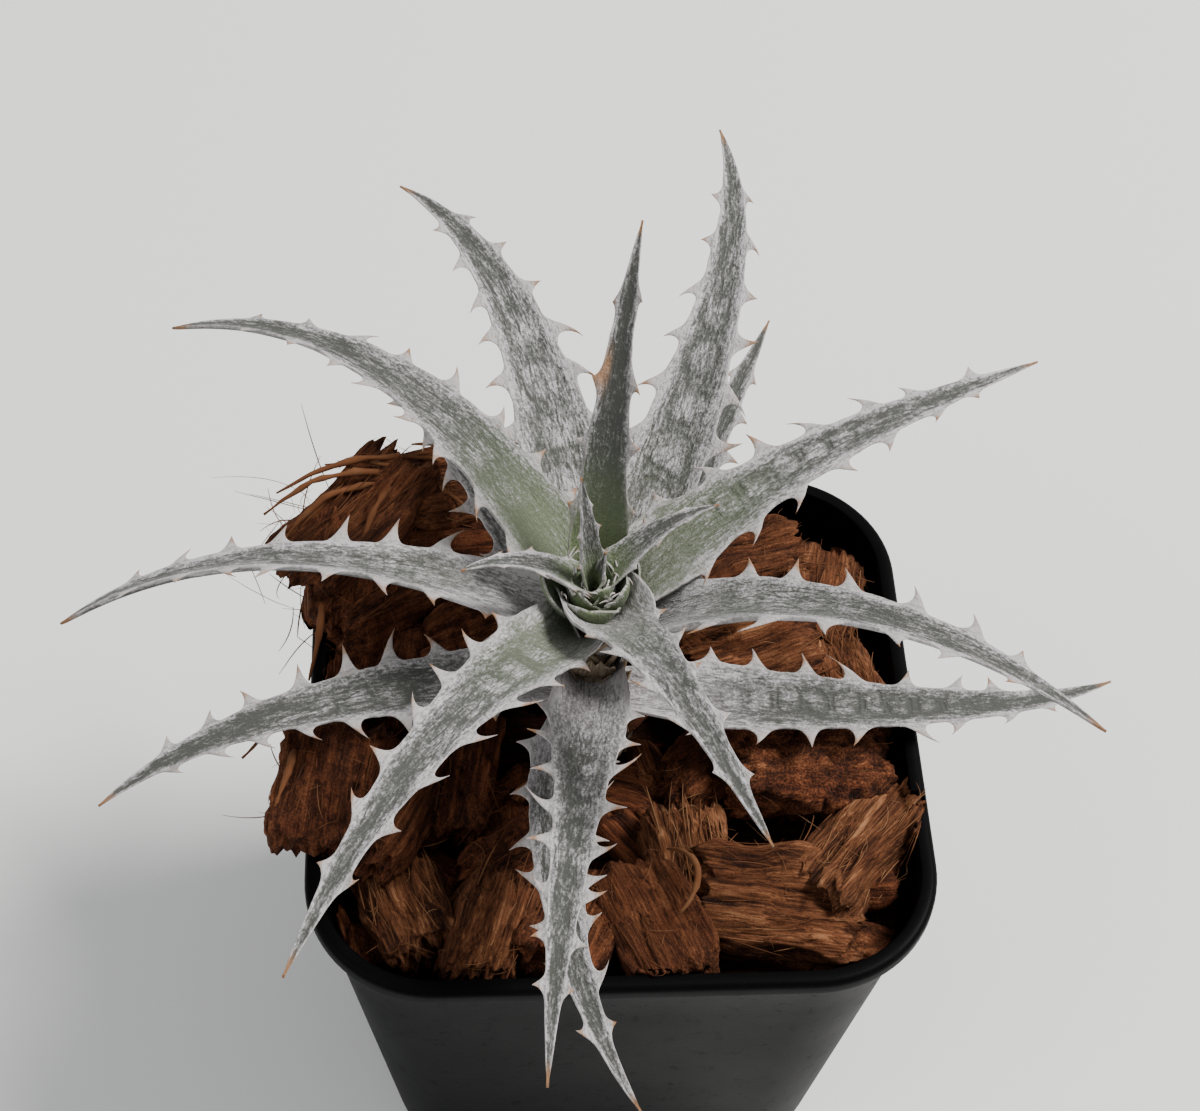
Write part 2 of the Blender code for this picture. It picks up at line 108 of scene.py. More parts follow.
# The five low leaves have their scurf set lower, a painted shade that darkens them
LEAVES = (
    (Leaf("leaf_low_right", -7, 13, 24, 2, 18, 85, 7, 6.6, 12.5, 0, 0, 8, 4.2, 11),
     Look(0.0, 0.43, 4.7, 0.1, 0.14, 0.74, 0.0, 0.9, 1.15)),
    (Leaf("leaf_low_front", -107, 38, 7, 20, 20, 77, 9, 6.6, 11.5, 0, 0, 7, 4.0, 12),
     Look(0.0, 0.5, 5.5, -0.2, 0.3, 0.7, -0.1, 0.4, 1.1)),
    (Leaf("leaf_low_back_right", 63, 2, 2, 12, 14, 74, 10, 6.6, 10.5, 0, 0, 6, 3.6, 13),
     Look(0.2, 0.42, 6.0, 0.1, 0.3, 0.7, 0.0, 0.4, 1.1)),
    (Leaf("leaf_low_left", -173, 10, 20, 14, 27, 75, 11, 6.6, 12.0, 0, 0, 8, 4.2, 14),
     Look(0.0, 0.4, 6.0, 0.15, 0.12, 0.6, 0.0, 0.7, 1.35)),
    (Leaf("leaf_low_back_left", 112, 16, 16, 17, 26, 76, 12, 6.6, 11.5, 0, 0, 7, 3.8, 15),
     Look(0.1, 0.5, 7.0, 0.0, 0.2, 0.6, 0.0, 0.4, 1.2)),
    (Leaf("leaf_front", -95, -9, 10, 35, 32, 86, 17, 6.0, 12.5, 0, 0, 8, 3.6, 17),
     Look(0.0, 0.48, 5.2, 0.25, 0.16, 0.62, -0.22, 0.8, 1.25)),
    (Leaf("leaf_back_right", 63, 8, 30, 38, 39, 94, 18, 6.0, 13.0, 0, 0, 8, 4.0, 19),
     Look(0.25, 0.58, 8.5, 0.05, 0.12, 0.66, 0.1, 0.9, 1.2)),
    (Leaf("leaf_back_left", 97, 16, 21, 35, 47, 89, 22, 5.6, 13.0, 0, 0, 8, 4.4, 20),
     Look(0.2, 0.6, 9.5, 0.0, 0.15, 0.7, 0.16, 0.9, 1.25)),
    (Leaf("leaf_left", 163, 18, 12, 23, 58, 84, 24.5, 6.2, 12.5, 16, 12, 8, 4.4, 18),
     Look(0.15, 0.6, 7.5, 0.1, 0.2, 0.55, -0.08, 0.6, 1.55)),
    (Leaf("leaf_right", -16, -25, 4, 51, 67, 82, 25.5, 5.6, 12.5, -14, 0, 7, 4.2, 16),
     Look(0.2, 0.54, 6.2, 0.15, 0.14, 0.55, 0.0, 0.6, 1.4)),
    (Leaf("leaf_upper_left", 121, 33, 18, 31, 52, 88, 28, 5.4, 12.5, 8, 12, 8, 3.6, 22),
     Look(0.8, 0.52, 8.0, 0.1, 0.12, 0.5, 0.12, 0.6, 1.2)),
    (Leaf("leaf_upper_front", -126, 10, 3, 42, 48, 88, 29, 5.4, 13.0, 0, 0, 7, 3.8, 23),
     Look(0.6, 0.54, 7.2, 0.1, 0.1, 0.55, -0.14, 0.9, 1.2)),
    (Leaf("leaf_upper_right", 34, -20, 18, 26, 38, 80, 30.7, 6.4, 12.0, 6, 0, 7, 3.8, 21),
     Look(0.7, 0.56, 5.4, 0.15, 0.17, 0.62, -0.13, 0.8, 1.15)),
    (Leaf("leaf_young_front", -72, 0, 6, 51, 58, 63, 33, 5.0, 9.5, 0, 0, 5, 2.4, 24),
     Look(0.4, 0.56, 6.5, 0.0, 0.25, 0.6, 0.0, 0.4, 1.2)),
    (Leaf("leaf_young_back", 84, -14, 3, 74, 27, 57, 32.5, 5.6, 8.2, 0, 0, 4, 2.2, 25),
     Look(1.0, 0.34, 6.0, 0.0, 0.3, 0.5, 0.0, 0.2, 1.0)),
)
# The small leaves round the growing point, and the nested cups that they open from
HEART_LEAVES = (
    (Leaf("left", 172, 30, 8, 50, 46, 23, 35, 1.2, 6.4, 10, 0, 3, 1.3, 31), 0.62),
    (Leaf("right", 38, -30, 0, 42, 32, 22, 36, 1.2, 5.4, 0, 0, 3, 1.0, 32), 0.50),
    (Leaf("upright", 124, 0, 0, 82, 4, 22, 36, 0.8, 4.4, 0, 0, 3, 0.9, 33), 0.46),
    (Leaf("bud", 20, 0, 0, 84, 0, 7, 37, 0.4, 3.0, 0, 0, 1, 0.4, 38), 0.40),
)
CUPS = 10
GOLDEN_ANGLE = 137.5  # degrees from one leaf to the next as the plant grows


def cup(number):
    """One of the nested young leaves, the inmost first."""
    return Leaf(
        "cup", 15 + GOLDEN_ANGLE * number, 0, 0, 82 - 2.8 * number, -6, 4.6 + 0.42 * number,
        33.8 - 0.34 * number, 0.7 + 0.36 * number, 3.8 + 0.78 * number, 0, 0, 4, 0.5, 40 + number,
    )


class Chip(NamedTuple):
    """One husk chip, in millimetres and degrees, as in the CAD model."""

    x: float
    y: float
    z: float
    length: float
    width: float
    depth: float
    turn: float
    tilt: float
    lean: float


# Each chip with its tone (0 rust, 1 tan), how striated and how crumbly it is
CHIPS = (
    (Chip(24, -33, 5, 23, 17, 9, -8, 8, 4), 0.50, 1.0, 0.2),
    (Chip(38, -24, 6, 22, 12, 9, 52, -14, 8), 0.62, 1.0, 0.1),
    (Chip(31, -9, 8, 26, 15, 10, 4, 6, 10), 0.18, 0.2, 1.0),
    (Chip(11, -25, 4, 17, 13, 9, 100, 10, -8), 0.66, 1.0, 0.1),
    (Chip(5, -36, 5, 20, 14, 9, 112, -12, 6), 0.32, 0.3, 0.3),
    (Chip(-8, -35, 4, 17, 14, 9, 65, 10, 12), 0.20, 0.5, 0.5),
    (Chip(-21, -36, 5, 16, 12, 10, 74, 12, -10), 0.50, 0.8, 0.2),
    (Chip(-33, -33, 5, 15, 13, 9, 110, -16, 8), 0.58, 0.9, 0.2),
    (Chip(-16, -22, 4, 21, 10, 8, 38, 14, 10), 0.15, 0.5, 0.6),
    (Chip(-38, -14, 9, 24, 17, 10, 66, -18, 8), 0.28, 0.7, 0.3),
    (Chip(-46, -15, 14, 20, 16, 9, 78, -10, -14), 0.20, 0.6, 0.5),
    (Chip(-27, -8, 8, 22, 15, 9, 80, 10, -6), 0.15, 0.6, 0.5),
    (Chip(-39, 8, 8, 20, 15, 9, 86, -8, 8), 0.12, 0.6, 0.5),
    (Chip(-25, 13, 8, 20, 17, 9, 20, 8, -8), 0.15, 0.6, 0.6),
    (Chip(-37, 25, 10, 24, 15, 9, 40, -14, 12), 0.20, 0.7, 0.4),
    (Chip(-24, 33, 10, 25, 14, 9, 8, 16, 8), 0.22, 0.7, 0.4),
    (Chip(-42, 36, 17, 27, 17, 10, 46, -8, -10), 0.30, 0.9, 0.3),
    (Chip(-28, 43, 16, 22, 14, 10, 12, 14, 8), 0.40, 0.9, 0.2),
    (Chip(-43, 27, 14, 20, 14, 9, 84, 8, -12), 0.26, 0.8, 0.3),
    (Chip(-8, 29, 8, 20, 15, 9, 62, -8, 10), 0.25, 0.6, 0.4),
    (Chip(7, 34, 7, 19, 15, 9, -28, 10, -8), 0.25, 0.6, 0.4),
    (Chip(24, 32, 7, 22, 16, 9, 24, -10, 8), 0.35, 0.6, 0.4),
    (Chip(36, 24, 6, 19, 15, 9, 74, 10, 10), 0.45, 0.8, 0.3),
    (Chip(24, 12, 7, 23, 17, 10, 14, 8, -10), 0.40, 0.9, 0.2),
    (Chip(38, 6, 7, 18, 14, 10, 96, -12, 6), 0.48, 0.9, 0.2),
    (Chip(12, 19, 6, 17, 13, 9, -44, 12, 8), 0.30, 0.7, 0.3),
    (Chip(16, -6, 3, 17, 12, 9, 40, 8, 8), 0.15, 0.5, 0.6),
)


class LooseEnds(NamedTuple):
    """A patch of loose fibres, in millimetres and degrees; z is from 9 mm below the pot's top."""

    x: float
    y: float
    z: float
    spread: float
    count: int
    shortest: float
    longest: float
    tone: float
    heading: float
    curl: float


# The heap at the back left, the left lip, a frayed bundle in front, and stray ones
LOOSE_ENDS = (
    LooseEnds(-46, 37, 11, 8, 34, 9, 22, 0.25, None, 0.9),
    LooseEnds(-30, 43, 11, 7, 26, 8, 20, 0.30, None, 0.9),
    LooseEnds(-50, -12, 8, 5, 12, 6, 14, 0.25, None, 0.9),
    LooseEnds(-49, 20, 9, 5, 14, 7, 15, 0.25, None, 0.8),
    LooseEnds(11, -21, 3, 3.6, 64, 3, 7, 0.46, 75, 0.9),
    LooseEnds(41, -27, 4, 4.0, 30, 5, 10, 0.50, 60, 0.8),
    LooseEnds(26, -35, 4, 5.0, 30, 5, 10, 0.58, 0, 0.6),
    LooseEnds(22, 11, 4, 6.0, 16, 5, 12, 0.45, 10, 0.8),
    LooseEnds(-20, -34, 3, 5.0, 14, 5, 11, 0.45, 80, 0.5),
    LooseEnds(20, -30, 2, 16.0, 14, 5, 12, 0.55, None, 0.9),
    LooseEnds(-20, -24, 2, 12.0, 10, 5, 12, 0.35, None, 0.9),
)
BITS = 95  # small broken chips
STUBS = 46  # dry leaf bases on the stem

# Torn strips on the heap: start (x, y, z), heading and bend in degrees, length, tone
TOP_MM = POT_HEIGHT / MM
STRIPS = (
    ((-58, 36, TOP_MM + 9), 40, -55, 30, 0.42),
    ((-56, 40, TOP_MM + 10), 25, -30, 33, 0.36),
    ((-55, 30, TOP_MM + 8), 62, -70, 28, 0.40),
    ((-48, 47, TOP_MM + 9), -8, -28, 27, 0.46),
    ((-41, 24, TOP_MM + 9), 95, -60, 24, 0.33),
    ((-33, 50, TOP_MM + 10), -20, 35, 20, 0.40),
    ((-60, -10, TOP_MM + 5), 30, 40, 17, 0.35),
    ((-55, -20, TOP_MM + 4), 60, 30, 15, 0.38),
    ((-50, 6, TOP_MM + 3), 70, 30, 19, 0.33),
    ((8, -38, TOP_MM + 1), 25, 130, 15, 0.48),
)


# ---- Meshes ----
def add_object(name, data):
    made = bpy.data.objects.new(name, data)
    bpy.context.scene.collection.objects.link(made)
    return made


def mesh_piece(name, points, faces, material, attributes=None):
    """A smooth-shaded object; attributes are per-point (x, y, z) arrays."""
    mesh = bpy.data.meshes.new(name)
    mesh.from_pydata(np.asarray(points).tolist(), [], faces)
    for key, values in (attributes or {}).items():
        layer = mesh.attributes.new(key, "FLOAT_VECTOR", "POINT")
        layer.data.foreach_set("vector", np.asarray(values, np.float32).ravel())
    mesh.materials.append(material)
    mesh.shade_smooth()
    mesh.update()
    return add_object(name, mesh)


class Gather:
    """Collects many small meshes into one."""

    def __init__(self, *keys):
        self.points = []
        self.faces = []
        self.values = {key: [] for key in keys}
        self.count = 0

    def add(self, points, faces, **values):
        points = np.asarray(points, float)
        self.faces += [tuple(i + self.count for i in face) for face in faces]
        self.points.append(points)
        for key, value in values.items():
            value = np.asarray(value, float)
            self.values[key].append(
                np.broadcast_to(value, (len(points), 3)) if value.ndim == 1 else value
            )
        self.count += len(points)

    def piece(self, name, material):
        values = {key: np.vstack(value) for key, value in self.values.items()}
        return mesh_piece(name, np.vstack(self.points), self.faces, material, values)


def ring_faces(rows, count):
    """Quads between rows of rings, and a face at each end."""
    faces = []
    for row in range(rows - 1):
        for i in range(count):
            a, b = row * count + i, row * count + (i + 1) % count
            faces.append((a, b, b + count, a + count))
    faces.append(tuple(range(count))[::-1])
    faces.append(tuple((rows - 1) * count + i for i in range(count)))
    return faces


def lattice_value(i, j, k):
    """A repeatable number from 0 to 1 at each whole-number place."""
    n = i * 374761393 + j * 668265263 + k * 2147483647
    n = (n ^ (n >> 13)) * 1274126177
    n = n ^ (n >> 16)
    return (n & 0xFFFFFF) / float(0xFFFFFF)


def noise(points):
    """Smooth noise from -1 to 1 at an array of points."""
    points = np.asarray(points, float)
    cell = np.floor(points).astype(np.int64)
    part = points - cell
    part = part * part * (3 - 2 * part)
    total = 0
    for corner in itertools.product((0, 1), repeat=3):
        x, y, z = (part[..., k] if far else 1 - part[..., k] for k, far in enumerate(corner))
        i, j, k = (cell[..., axis] + far for axis, far in enumerate(corner))
        total = total + x * y * z * lattice_value(i, j, k)
    return 2 * total - 1


def rough_noise(points, octaves=4):
    total, size = 0, 1.0
    for octave in range(octaves):
        total = total + size * noise(np.asarray(points) * 2.03**octave + 17.3 * octave)
        size *= 0.5
    return total / 1.9


# ---- Leaves ----
BACK_SHARE = 0.07  # the blade runs this far back from its root, into the stem
MIDLINE_STEPS = 400
MIDDLE_HEIGHT, YOUNG_HEIGHT = 15, 30  # roots above these are of the middle and the young leaves
THINNEST_HALF_WIDTH = 0.14 * MM
THINNEST = 0.07 * MM
NO_SPINE = -1
SPINE_SHARPNESS = 4.6  # higher makes a narrower spine on a flatter margin
SPINE_BEND = 1.55  # how far a spine's tip bends along the leaf, as a share of its hook
MARGIN_WAVE = 0.085  # how much the margin wanders, as a share of the half width
SWELL = 0.16 * MM  # low swellings of the upper face
MOST_WRAP = 1.45  # radians that a base goes round the stem, each way
SEED_STEP = 7.31  # between two leaves in the noise of the materials


def polar(reach, turn):
    """The x and y of a point so far out in a direction."""
    return reach * np.cos(turn), reach * np.sin(turn)


def midline(leaf):
    """Share, point, leftward and upward direction at steps along the leaf, from inside the stem."""
    share = np.linspace(0, 1, MIDLINE_STEPS + 1)
    heading = np.radians(leaf.azimuth + leaf.sweep * share + leaf.curl * share**3)
    climb = np.radians(leaf.rise - leaf.droop * share)
    along = np.stack(
        [np.cos(climb) * np.cos(heading), np.cos(climb) * np.sin(heading), np.sin(climb)], axis=1
    )
    left = np.stack([-np.sin(heading), np.cos(heading), 0 * share], axis=1)
    up = np.cross(along, left)
    roll = np.radians(leaf.roll + leaf.roll_tip * share)[:, None]
    left, up = left * np.cos(roll) + up * np.sin(roll), up * np.cos(roll) - left * np.sin(roll)
    step = leaf.length * MM / MIDLINE_STEPS
    middle = (along[1:] + along[:-1]) / 2 * step
    root_x, root_y = polar(leaf.root * MM, np.radians(leaf.azimuth))
    root = np.array([STEM_X + root_x, STEM_Y + root_y, POT_HEIGHT + leaf.height * MM])
    back = root - along[0] * leaf.length * MM * BACK_SHARE
    points = np.vstack([back, root, root + np.cumsum(middle, axis=0)])
    share = np.concatenate([[-BACK_SHARE], share])
    return share, points, np.vstack([left[:1], left]), np.vstack([up[:1], up])


def smooth(share, low, high):
    part = np.clip((share - low) / (high - low), 0, 1)
    return part * part * (3 - 2 * part)


def half_width(leaf, share, slim=0.0):
    """Half the blade's width, without its spines."""
    taper = np.minimum(1.0, np.maximum(0.0, 1 - share) / 0.85) ** 0.88
    # The lowest bases are narrow, the middle ones nearly full, the young ones wrap the heart
    if leaf.name == "cup":
        sheath = 1.0
        taper = (1 - np.clip(share, 0, 1) ** 2.6) ** 0.5
    elif leaf.height > YOUNG_HEIGHT:
        wider = 0.75 if leaf.name == "leaf_young_front" else 0.25
        sheath = 1 + wider * (1 - smooth(share, 0.02, 0.20))
    else:
        at_root = 0.92 if leaf.height > MIDDLE_HEIGHT else 0.74
        sheath = np.minimum(1.0, at_root + 1.8 * np.maximum(share, 0))
    outer = 1 + slim * smooth(share, 0.12, 0.42)
    return np.maximum(leaf.width / 2 * MM * sheath * taper * outer, THINNEST_HALF_WIDTH)


def spine_sets(leaf):
    """For each margin, each spine's (length, hook along the leaf, shift along the leaf)."""
    draw = random.Random(leaf.seed)
    pitch = (SPINE_END - SPINE_START) * leaf.length * MM / max(leaf.spines, 1)
    sets = []
    for _margin in range(2):
        spines = []
        for number in range(leaf.spines):
            place = (number + 0.5) / leaf.spines
            size = leaf.spine * MM * min(1.0, 0.45 + 1.8 * place) * (1 - 0.72 * place**2)
            length = size * draw.uniform(0.78, 1.12)
            hook = length * draw.uniform(-0.85, 0.45)
            shift = pitch * draw.uniform(-0.16, 0.16)
            spines.append((length, hook, shift))
        sets.append(spines)
    return sets


# Columns over the blade: (share of the half width, share of the spine)
BODY_COLUMNS = (1.0, 0.95, 0.87, 0.76, 0.62, 0.46, 0.30, 0.15)
SPINE_COLUMNS = (1.0, 0.88, 0.70, 0.48, 0.26, 0.08)


def leaf_columns():
    """(side, body share, spine share, on top) once round the section."""
    left = [(1, 1.0, f, True) for f in SPINE_COLUMNS] + [(1, u, 0.0, True) for u in BODY_COLUMNS]
    right = [(-side, u, f, top) for side, u, f, top in reversed(left)]
    over = left + [(1, 0.0, 0.0, True)] + right
    under = [(side, u, f, False) for side, u, f, _top in reversed(over)]
    return over + under


def leaf_rows(leaf, rows_per_spine):
    """For each cross section: place along the leaf, spine number, and how far off that spine is."""
    rows = [(place, NO_SPINE, 1.0) for place in np.linspace(-BACK_SHARE, SPINE_START, 9)[:-1]]
    pitch = (SPINE_END - SPINE_START) / leaf.spines
    half_rows = rows_per_spine // 2
    for number in range(leaf.spines):
        for row in range(-half_rows, half_rows):
            t = row / half_rows
            phase = math.copysign(abs(t) ** 1.6, t)  # the sections crowd round the spine
            place = SPINE_START + (number + 0.5) * pitch + phase * pitch / 2
            rows.append((place, number, abs(phase)))
    rows += [(SPINE_END + (1 - SPINE_END) * t, NO_SPINE, 1.0) for t in np.linspace(0, 1, 16)]
    return rows


def leaf_surface(leaf, look, rows_per_spine=24, clasp=0.16, girth=5.4 * MM):
    """Points, faces and surface attributes of one fine leaf.

    Its base, up to the share clasp of its length, wraps a stem of that girth.
    """
    share, middle, left, up = midline(leaf)
    spines = spine_sets(leaf)
    rows = leaf_rows(leaf, rows_per_spine)
    place = np.array([row[0] for row in rows])[:, None]
    near = 1 - np.array([row[2] for row in rows])[:, None]
    columns = leaf_columns()
    side, body, thorn = np.array([column[:3] for column in columns], float).T[:, None, :]
    top = np.array([column[3] for column in columns])[None, :]
    facts = np.zeros((len(rows), 2, 3))
    for row, (_place, number, _off) in enumerate(rows):
        if number != NO_SPINE:
            facts[row] = [margin[number] for margin in spines]
    pick = (side[0] < 0).astype(int)
    length, hook, shift = (facts[:, pick, k] for k in range(3))

    # Width, thickness and channel of the blade
    half = half_width(leaf, place, look.slim)
    fade = np.clip(1 - place, 0, 1)
    tip = TIP_THICKNESS * 0.55
    edge = tip + (EDGE_THICKNESS - tip) * fade
    depth = tip + (MID_THICKNESS * min(1.0, leaf.width / 11) - tip) * fade**0.5
    depth = depth * np.minimum(1.0, 0.8 + np.maximum(place, 0))
    raised = CHANNEL_DEPTH * half * (1 + 0.8 * np.clip(1 - place / 0.2, 0, 1.2))

    # The spines reach out from the margin and bend along the leaf towards their tips
    length = length * look.claw
    reach = length * near**SPINE_SHARPNESS
    rim = np.minimum(0.10 * MM, half * 0.3)
    bend = (thorn * reach / np.maximum(length, 0.1 * MM)) ** 2.0
    moved = shift * near * body**3 + SPINE_BEND * hook * bend
    spot = np.clip(place + moved / (leaf.length * MM), -BACK_SHARE, 1.0)
    zero = 0 * spot
    along_mm = spot * leaf.length
    seed = leaf.seed * SEED_STEP
    wander = rough_noise(np.stack([along_mm * 0.28, side * 3.0 + zero, zero + seed], axis=-1), 3)
    wide = half * body * (1 + MARGIN_WAVE * wander * body**2) + (reach + rim) * thorn
    aside = side * wide

    # Height over the midline, above and below
    place_noise = np.stack([along_mm * 0.16, aside / MM * 0.45, zero + seed + 9], axis=-1)
    swell = rough_noise(place_noise, 3)
    lift = raised * body**1.9 + SPINE_LIFT * reach * thorn
    lift = lift + SWELL * swell * np.minimum(1, half / (4 * MM)) * (thorn == 0)
    body_thick = edge + (depth - edge) * (1 - body**1.7)
    thorn_thick = edge * np.sqrt(1 - (0.965 * thorn) ** 2) * (1 - 0.35 * thorn)
    here = np.maximum(np.where(thorn > 0, thorn_thick, body_thick), THINNEST)
    lift = lift - np.where(thorn > 0, (edge - here) * 0.5, 0)
    lift = np.where(top, lift, lift - here)

    def at(values):
        return np.stack([np.interp(spot, share, values[:, k]) for k in range(3)], axis=-1)

    # The base clasps the stem: it curls sideways round it, and its sides move inwards
    wrap = (1 - smooth(place, 0, clasp)) * np.clip(np.abs(aside) / girth, 0, MOST_WRAP)
    inward = girth * (1 - np.cos(wrap))
    aside = aside * np.sin(wrap + 1e-6) / (wrap + 1e-6)
    points = at(middle) + at(left) * aside[..., None] + at(up) * lift[..., None]
    outward = np.array([*polar(1, math.radians(leaf.azimuth)), 0])
    points = points - inward[..., None] * outward

    # What the material reads
    plate_x = along_mm / look.plate + leaf.seed * 0.37
    plate_y = (aside - look.offset * half) / np.maximum(half * 0.52, 0.3 * MM)
    inside = np.clip((spot - look.start) / 0.05, 0, 1) * np.clip((look.end - spot) / 0.1, 0, 1)
    spined = np.clip(thorn * reach / (1.2 * MM), 0, 1)
    thorn_tip = np.clip(thorn * np.sqrt(np.clip(reach / np.maximum(length, MM), 0, 1)), 0, 1)
    thorn_tip = np.where(length > 0, thorn_tip, 0)
    way = spot * (0.15 if leaf.name == "cup" else 1.0)
    below = 0.0 if leaf.name == "cup" else np.where(top, 0.0, 1.0)
    hurt = zero
    if leaf.name == "leaf_young_back":
        hurt = np.exp(-(((spot - 0.60) / 0.048) ** 2)) * smooth(side * body, 0.30, 0.95)
    values = {
        "leaf_mm": (along_mm, aside / MM, zero + seed),
        "leaf_way": (way, body + zero, below + zero),
        "leaf_plate": (plate_x, plate_y, look.mark * inside),
        "leaf_tone": (zero + look.fresh, zero + look.scurf, spined),
        "leaf_thorn": (thorn_tip, hurt, zero),
    }
    values = {key: np.stack(three, axis=-1).reshape(-1, 3) for key, three in values.items()}
    return points.reshape(-1, 3), ring_faces(*spot.shape), values


LEAF_KEYS = ("leaf_mm", "leaf_way", "leaf_plate", "leaf_tone", "leaf_thorn")


def add_rim_spines(heart, draw, leaf, girth):
    """The long soft spines of a young leaf, curled along the rim of its cup."""
    middle = math.radians(leaf.azimuth)
    t = np.linspace(0, 1, 8)
    for side in (-1, 1):
        for _ in range(2):
            turn = middle + side * draw.uniform(0.25, 0.95)
            high = POT_HEIGHT / MM + leaf.height + leaf.length * draw.uniform(0.62, 0.92)
            length = draw.uniform(1.5, 2.7)
            bend = side * draw.uniform(0.45, 0.8) / girth
            rise = draw.uniform(0.5, 1.0)
            x, y = polar(girth + leaf.root * 0.12 + 0.5 * t * t, turn + bend * length * t)
            z = high + rise * length * (t - 0.55 * t * t)
            path = np.stack([STEM_X / MM + x, STEM_Y / MM + y, z], axis=1)
            points, faces = tube(path, 0.19 * (1 - t**1.5 * 0.85), 6)
            along = np.repeat(t, 6)
            zero = 0 * along
            values = {
                "leaf_mm": (along * length, zero, zero + leaf.seed * SEED_STEP),
                "leaf_way": (zero + 0.4, zero + 1, zero),
                "leaf_plate": (zero, zero, zero),
                "leaf_tone": (zero + 1, zero + 0.6, zero + 1),
                "leaf_thorn": (along * 0.7, zero, zero),
            }
            values = {key: np.stack(three, axis=1) for key, three in values.items()}
            heart.add(points * MM, faces, **values)


# ---- Materials ----
class Graph:
    """Short names for building a procedural material."""

    def __init__(self, name):
        self.material = bpy.data.materials.new(name)
        self.material.use_nodes = True
        self.tree = self.material.node_tree
        self.shader = self.tree.nodes["Principled BSDF"]

    def join(self, value, socket):
        if isinstance(value, bpy.types.NodeSocket):
            self.tree.links.new(value, socket)
        elif isinstance(value, (tuple, list)) and len(value) == 3 and socket.type == "RGBA":
            socket.default_value = (*value, 1)
        else:
            socket.default_value = value

    def node(self, kind, inputs, **settings):
        """The outputs of a new node with these settings, and with a value or link in each input."""
        node = self.tree.nodes.new("ShaderNode" + kind)
        for key, value in settings.items():
            setattr(node, key, value)
        for key, value in inputs.items():
            self.join(value, node.inputs[key])
        return node.outputs

    def attribute(self, name):
        """The three numbers of a per-point attribute."""
        vector = self.node("Attribute", {}, attribute_name=name)["Vector"]
        return tuple(self.node("SeparateXYZ", {0: vector}))

    def vector(self, x, y, z):
        return self.node("CombineXYZ", {0: x, 1: y, 2: z})[0]

    def math(self, operation, a, b=0.0, clamp=False):
        return self.node("Math", {0: a, 1: b}, operation=operation, use_clamp=clamp)[0]

    def add(self, a, b, clamp=False):
        return self.math("ADD", a, b, clamp)

    def times(self, a, b):
        return self.math("MULTIPLY", a, b)

    def total(self, start, *terms):
        """start and each value times its weight."""
        for value, weight in terms:
            start = self.add(start, self.times(value, weight))
        return start

    def between(self, value, low, high, out_low=0.0, out_high=1.0):
        """value from low to high, mapped smoothly."""
        inputs = dict(enumerate((value, low, high, out_low, out_high)))
        return self.node("MapRange", inputs, interpolation_type="SMOOTHSTEP")["Result"]

    def noise(self, vector, scale=1.0, detail=3.0, roughness=0.55, distortion=0.0):
        inputs = {"Vector": vector, "Scale": scale, "Detail": detail}
        inputs.update(Roughness=roughness, Distortion=distortion)
        return self.node("TexNoise", inputs)["Fac"]

    def place(self):
        """Position in millimetres."""
        place = self.node("TexCoord", {})["Object"]
        return self.node("VectorMath", {0: place, "Scale": 1 / MM}, operation="SCALE")[0]

    def ramp(self, value, *stops):
        """A colour from (position, colour) stops."""
        node = self.tree.nodes.new("ShaderNodeValToRGB")
        ramp = node.color_ramp
        while len(ramp.elements) < len(stops):
            ramp.elements.new(0.5)
        for element, (position, colour) in zip(ramp.elements, stops):
            element.position = position
            element.color = (*colour, 1)
        self.join(value, node.inputs[0])
        return node.outputs[0]

    def mix(self, share, a, b):
        """A colour between a and b."""
        return self.node("Mix", {0: share, 6: a, 7: b}, data_type="RGBA")[2]

    def bump(self, height, strength, distance):
        return self.node("Bump", {"Strength": strength, "Distance": distance, "Height": height})[0]

    def finish(self, colour, roughness, normal=None, **sockets):
        self.join(colour, self.shader.inputs["Base Color"])
        self.join(roughness, self.shader.inputs["Roughness"])
        if normal is not None:
            self.join(normal, self.shader.inputs["Normal"])
        for key, value in sockets.items():
            self.shader.inputs[key.replace("_", " ")].default_value = value
        return self.material


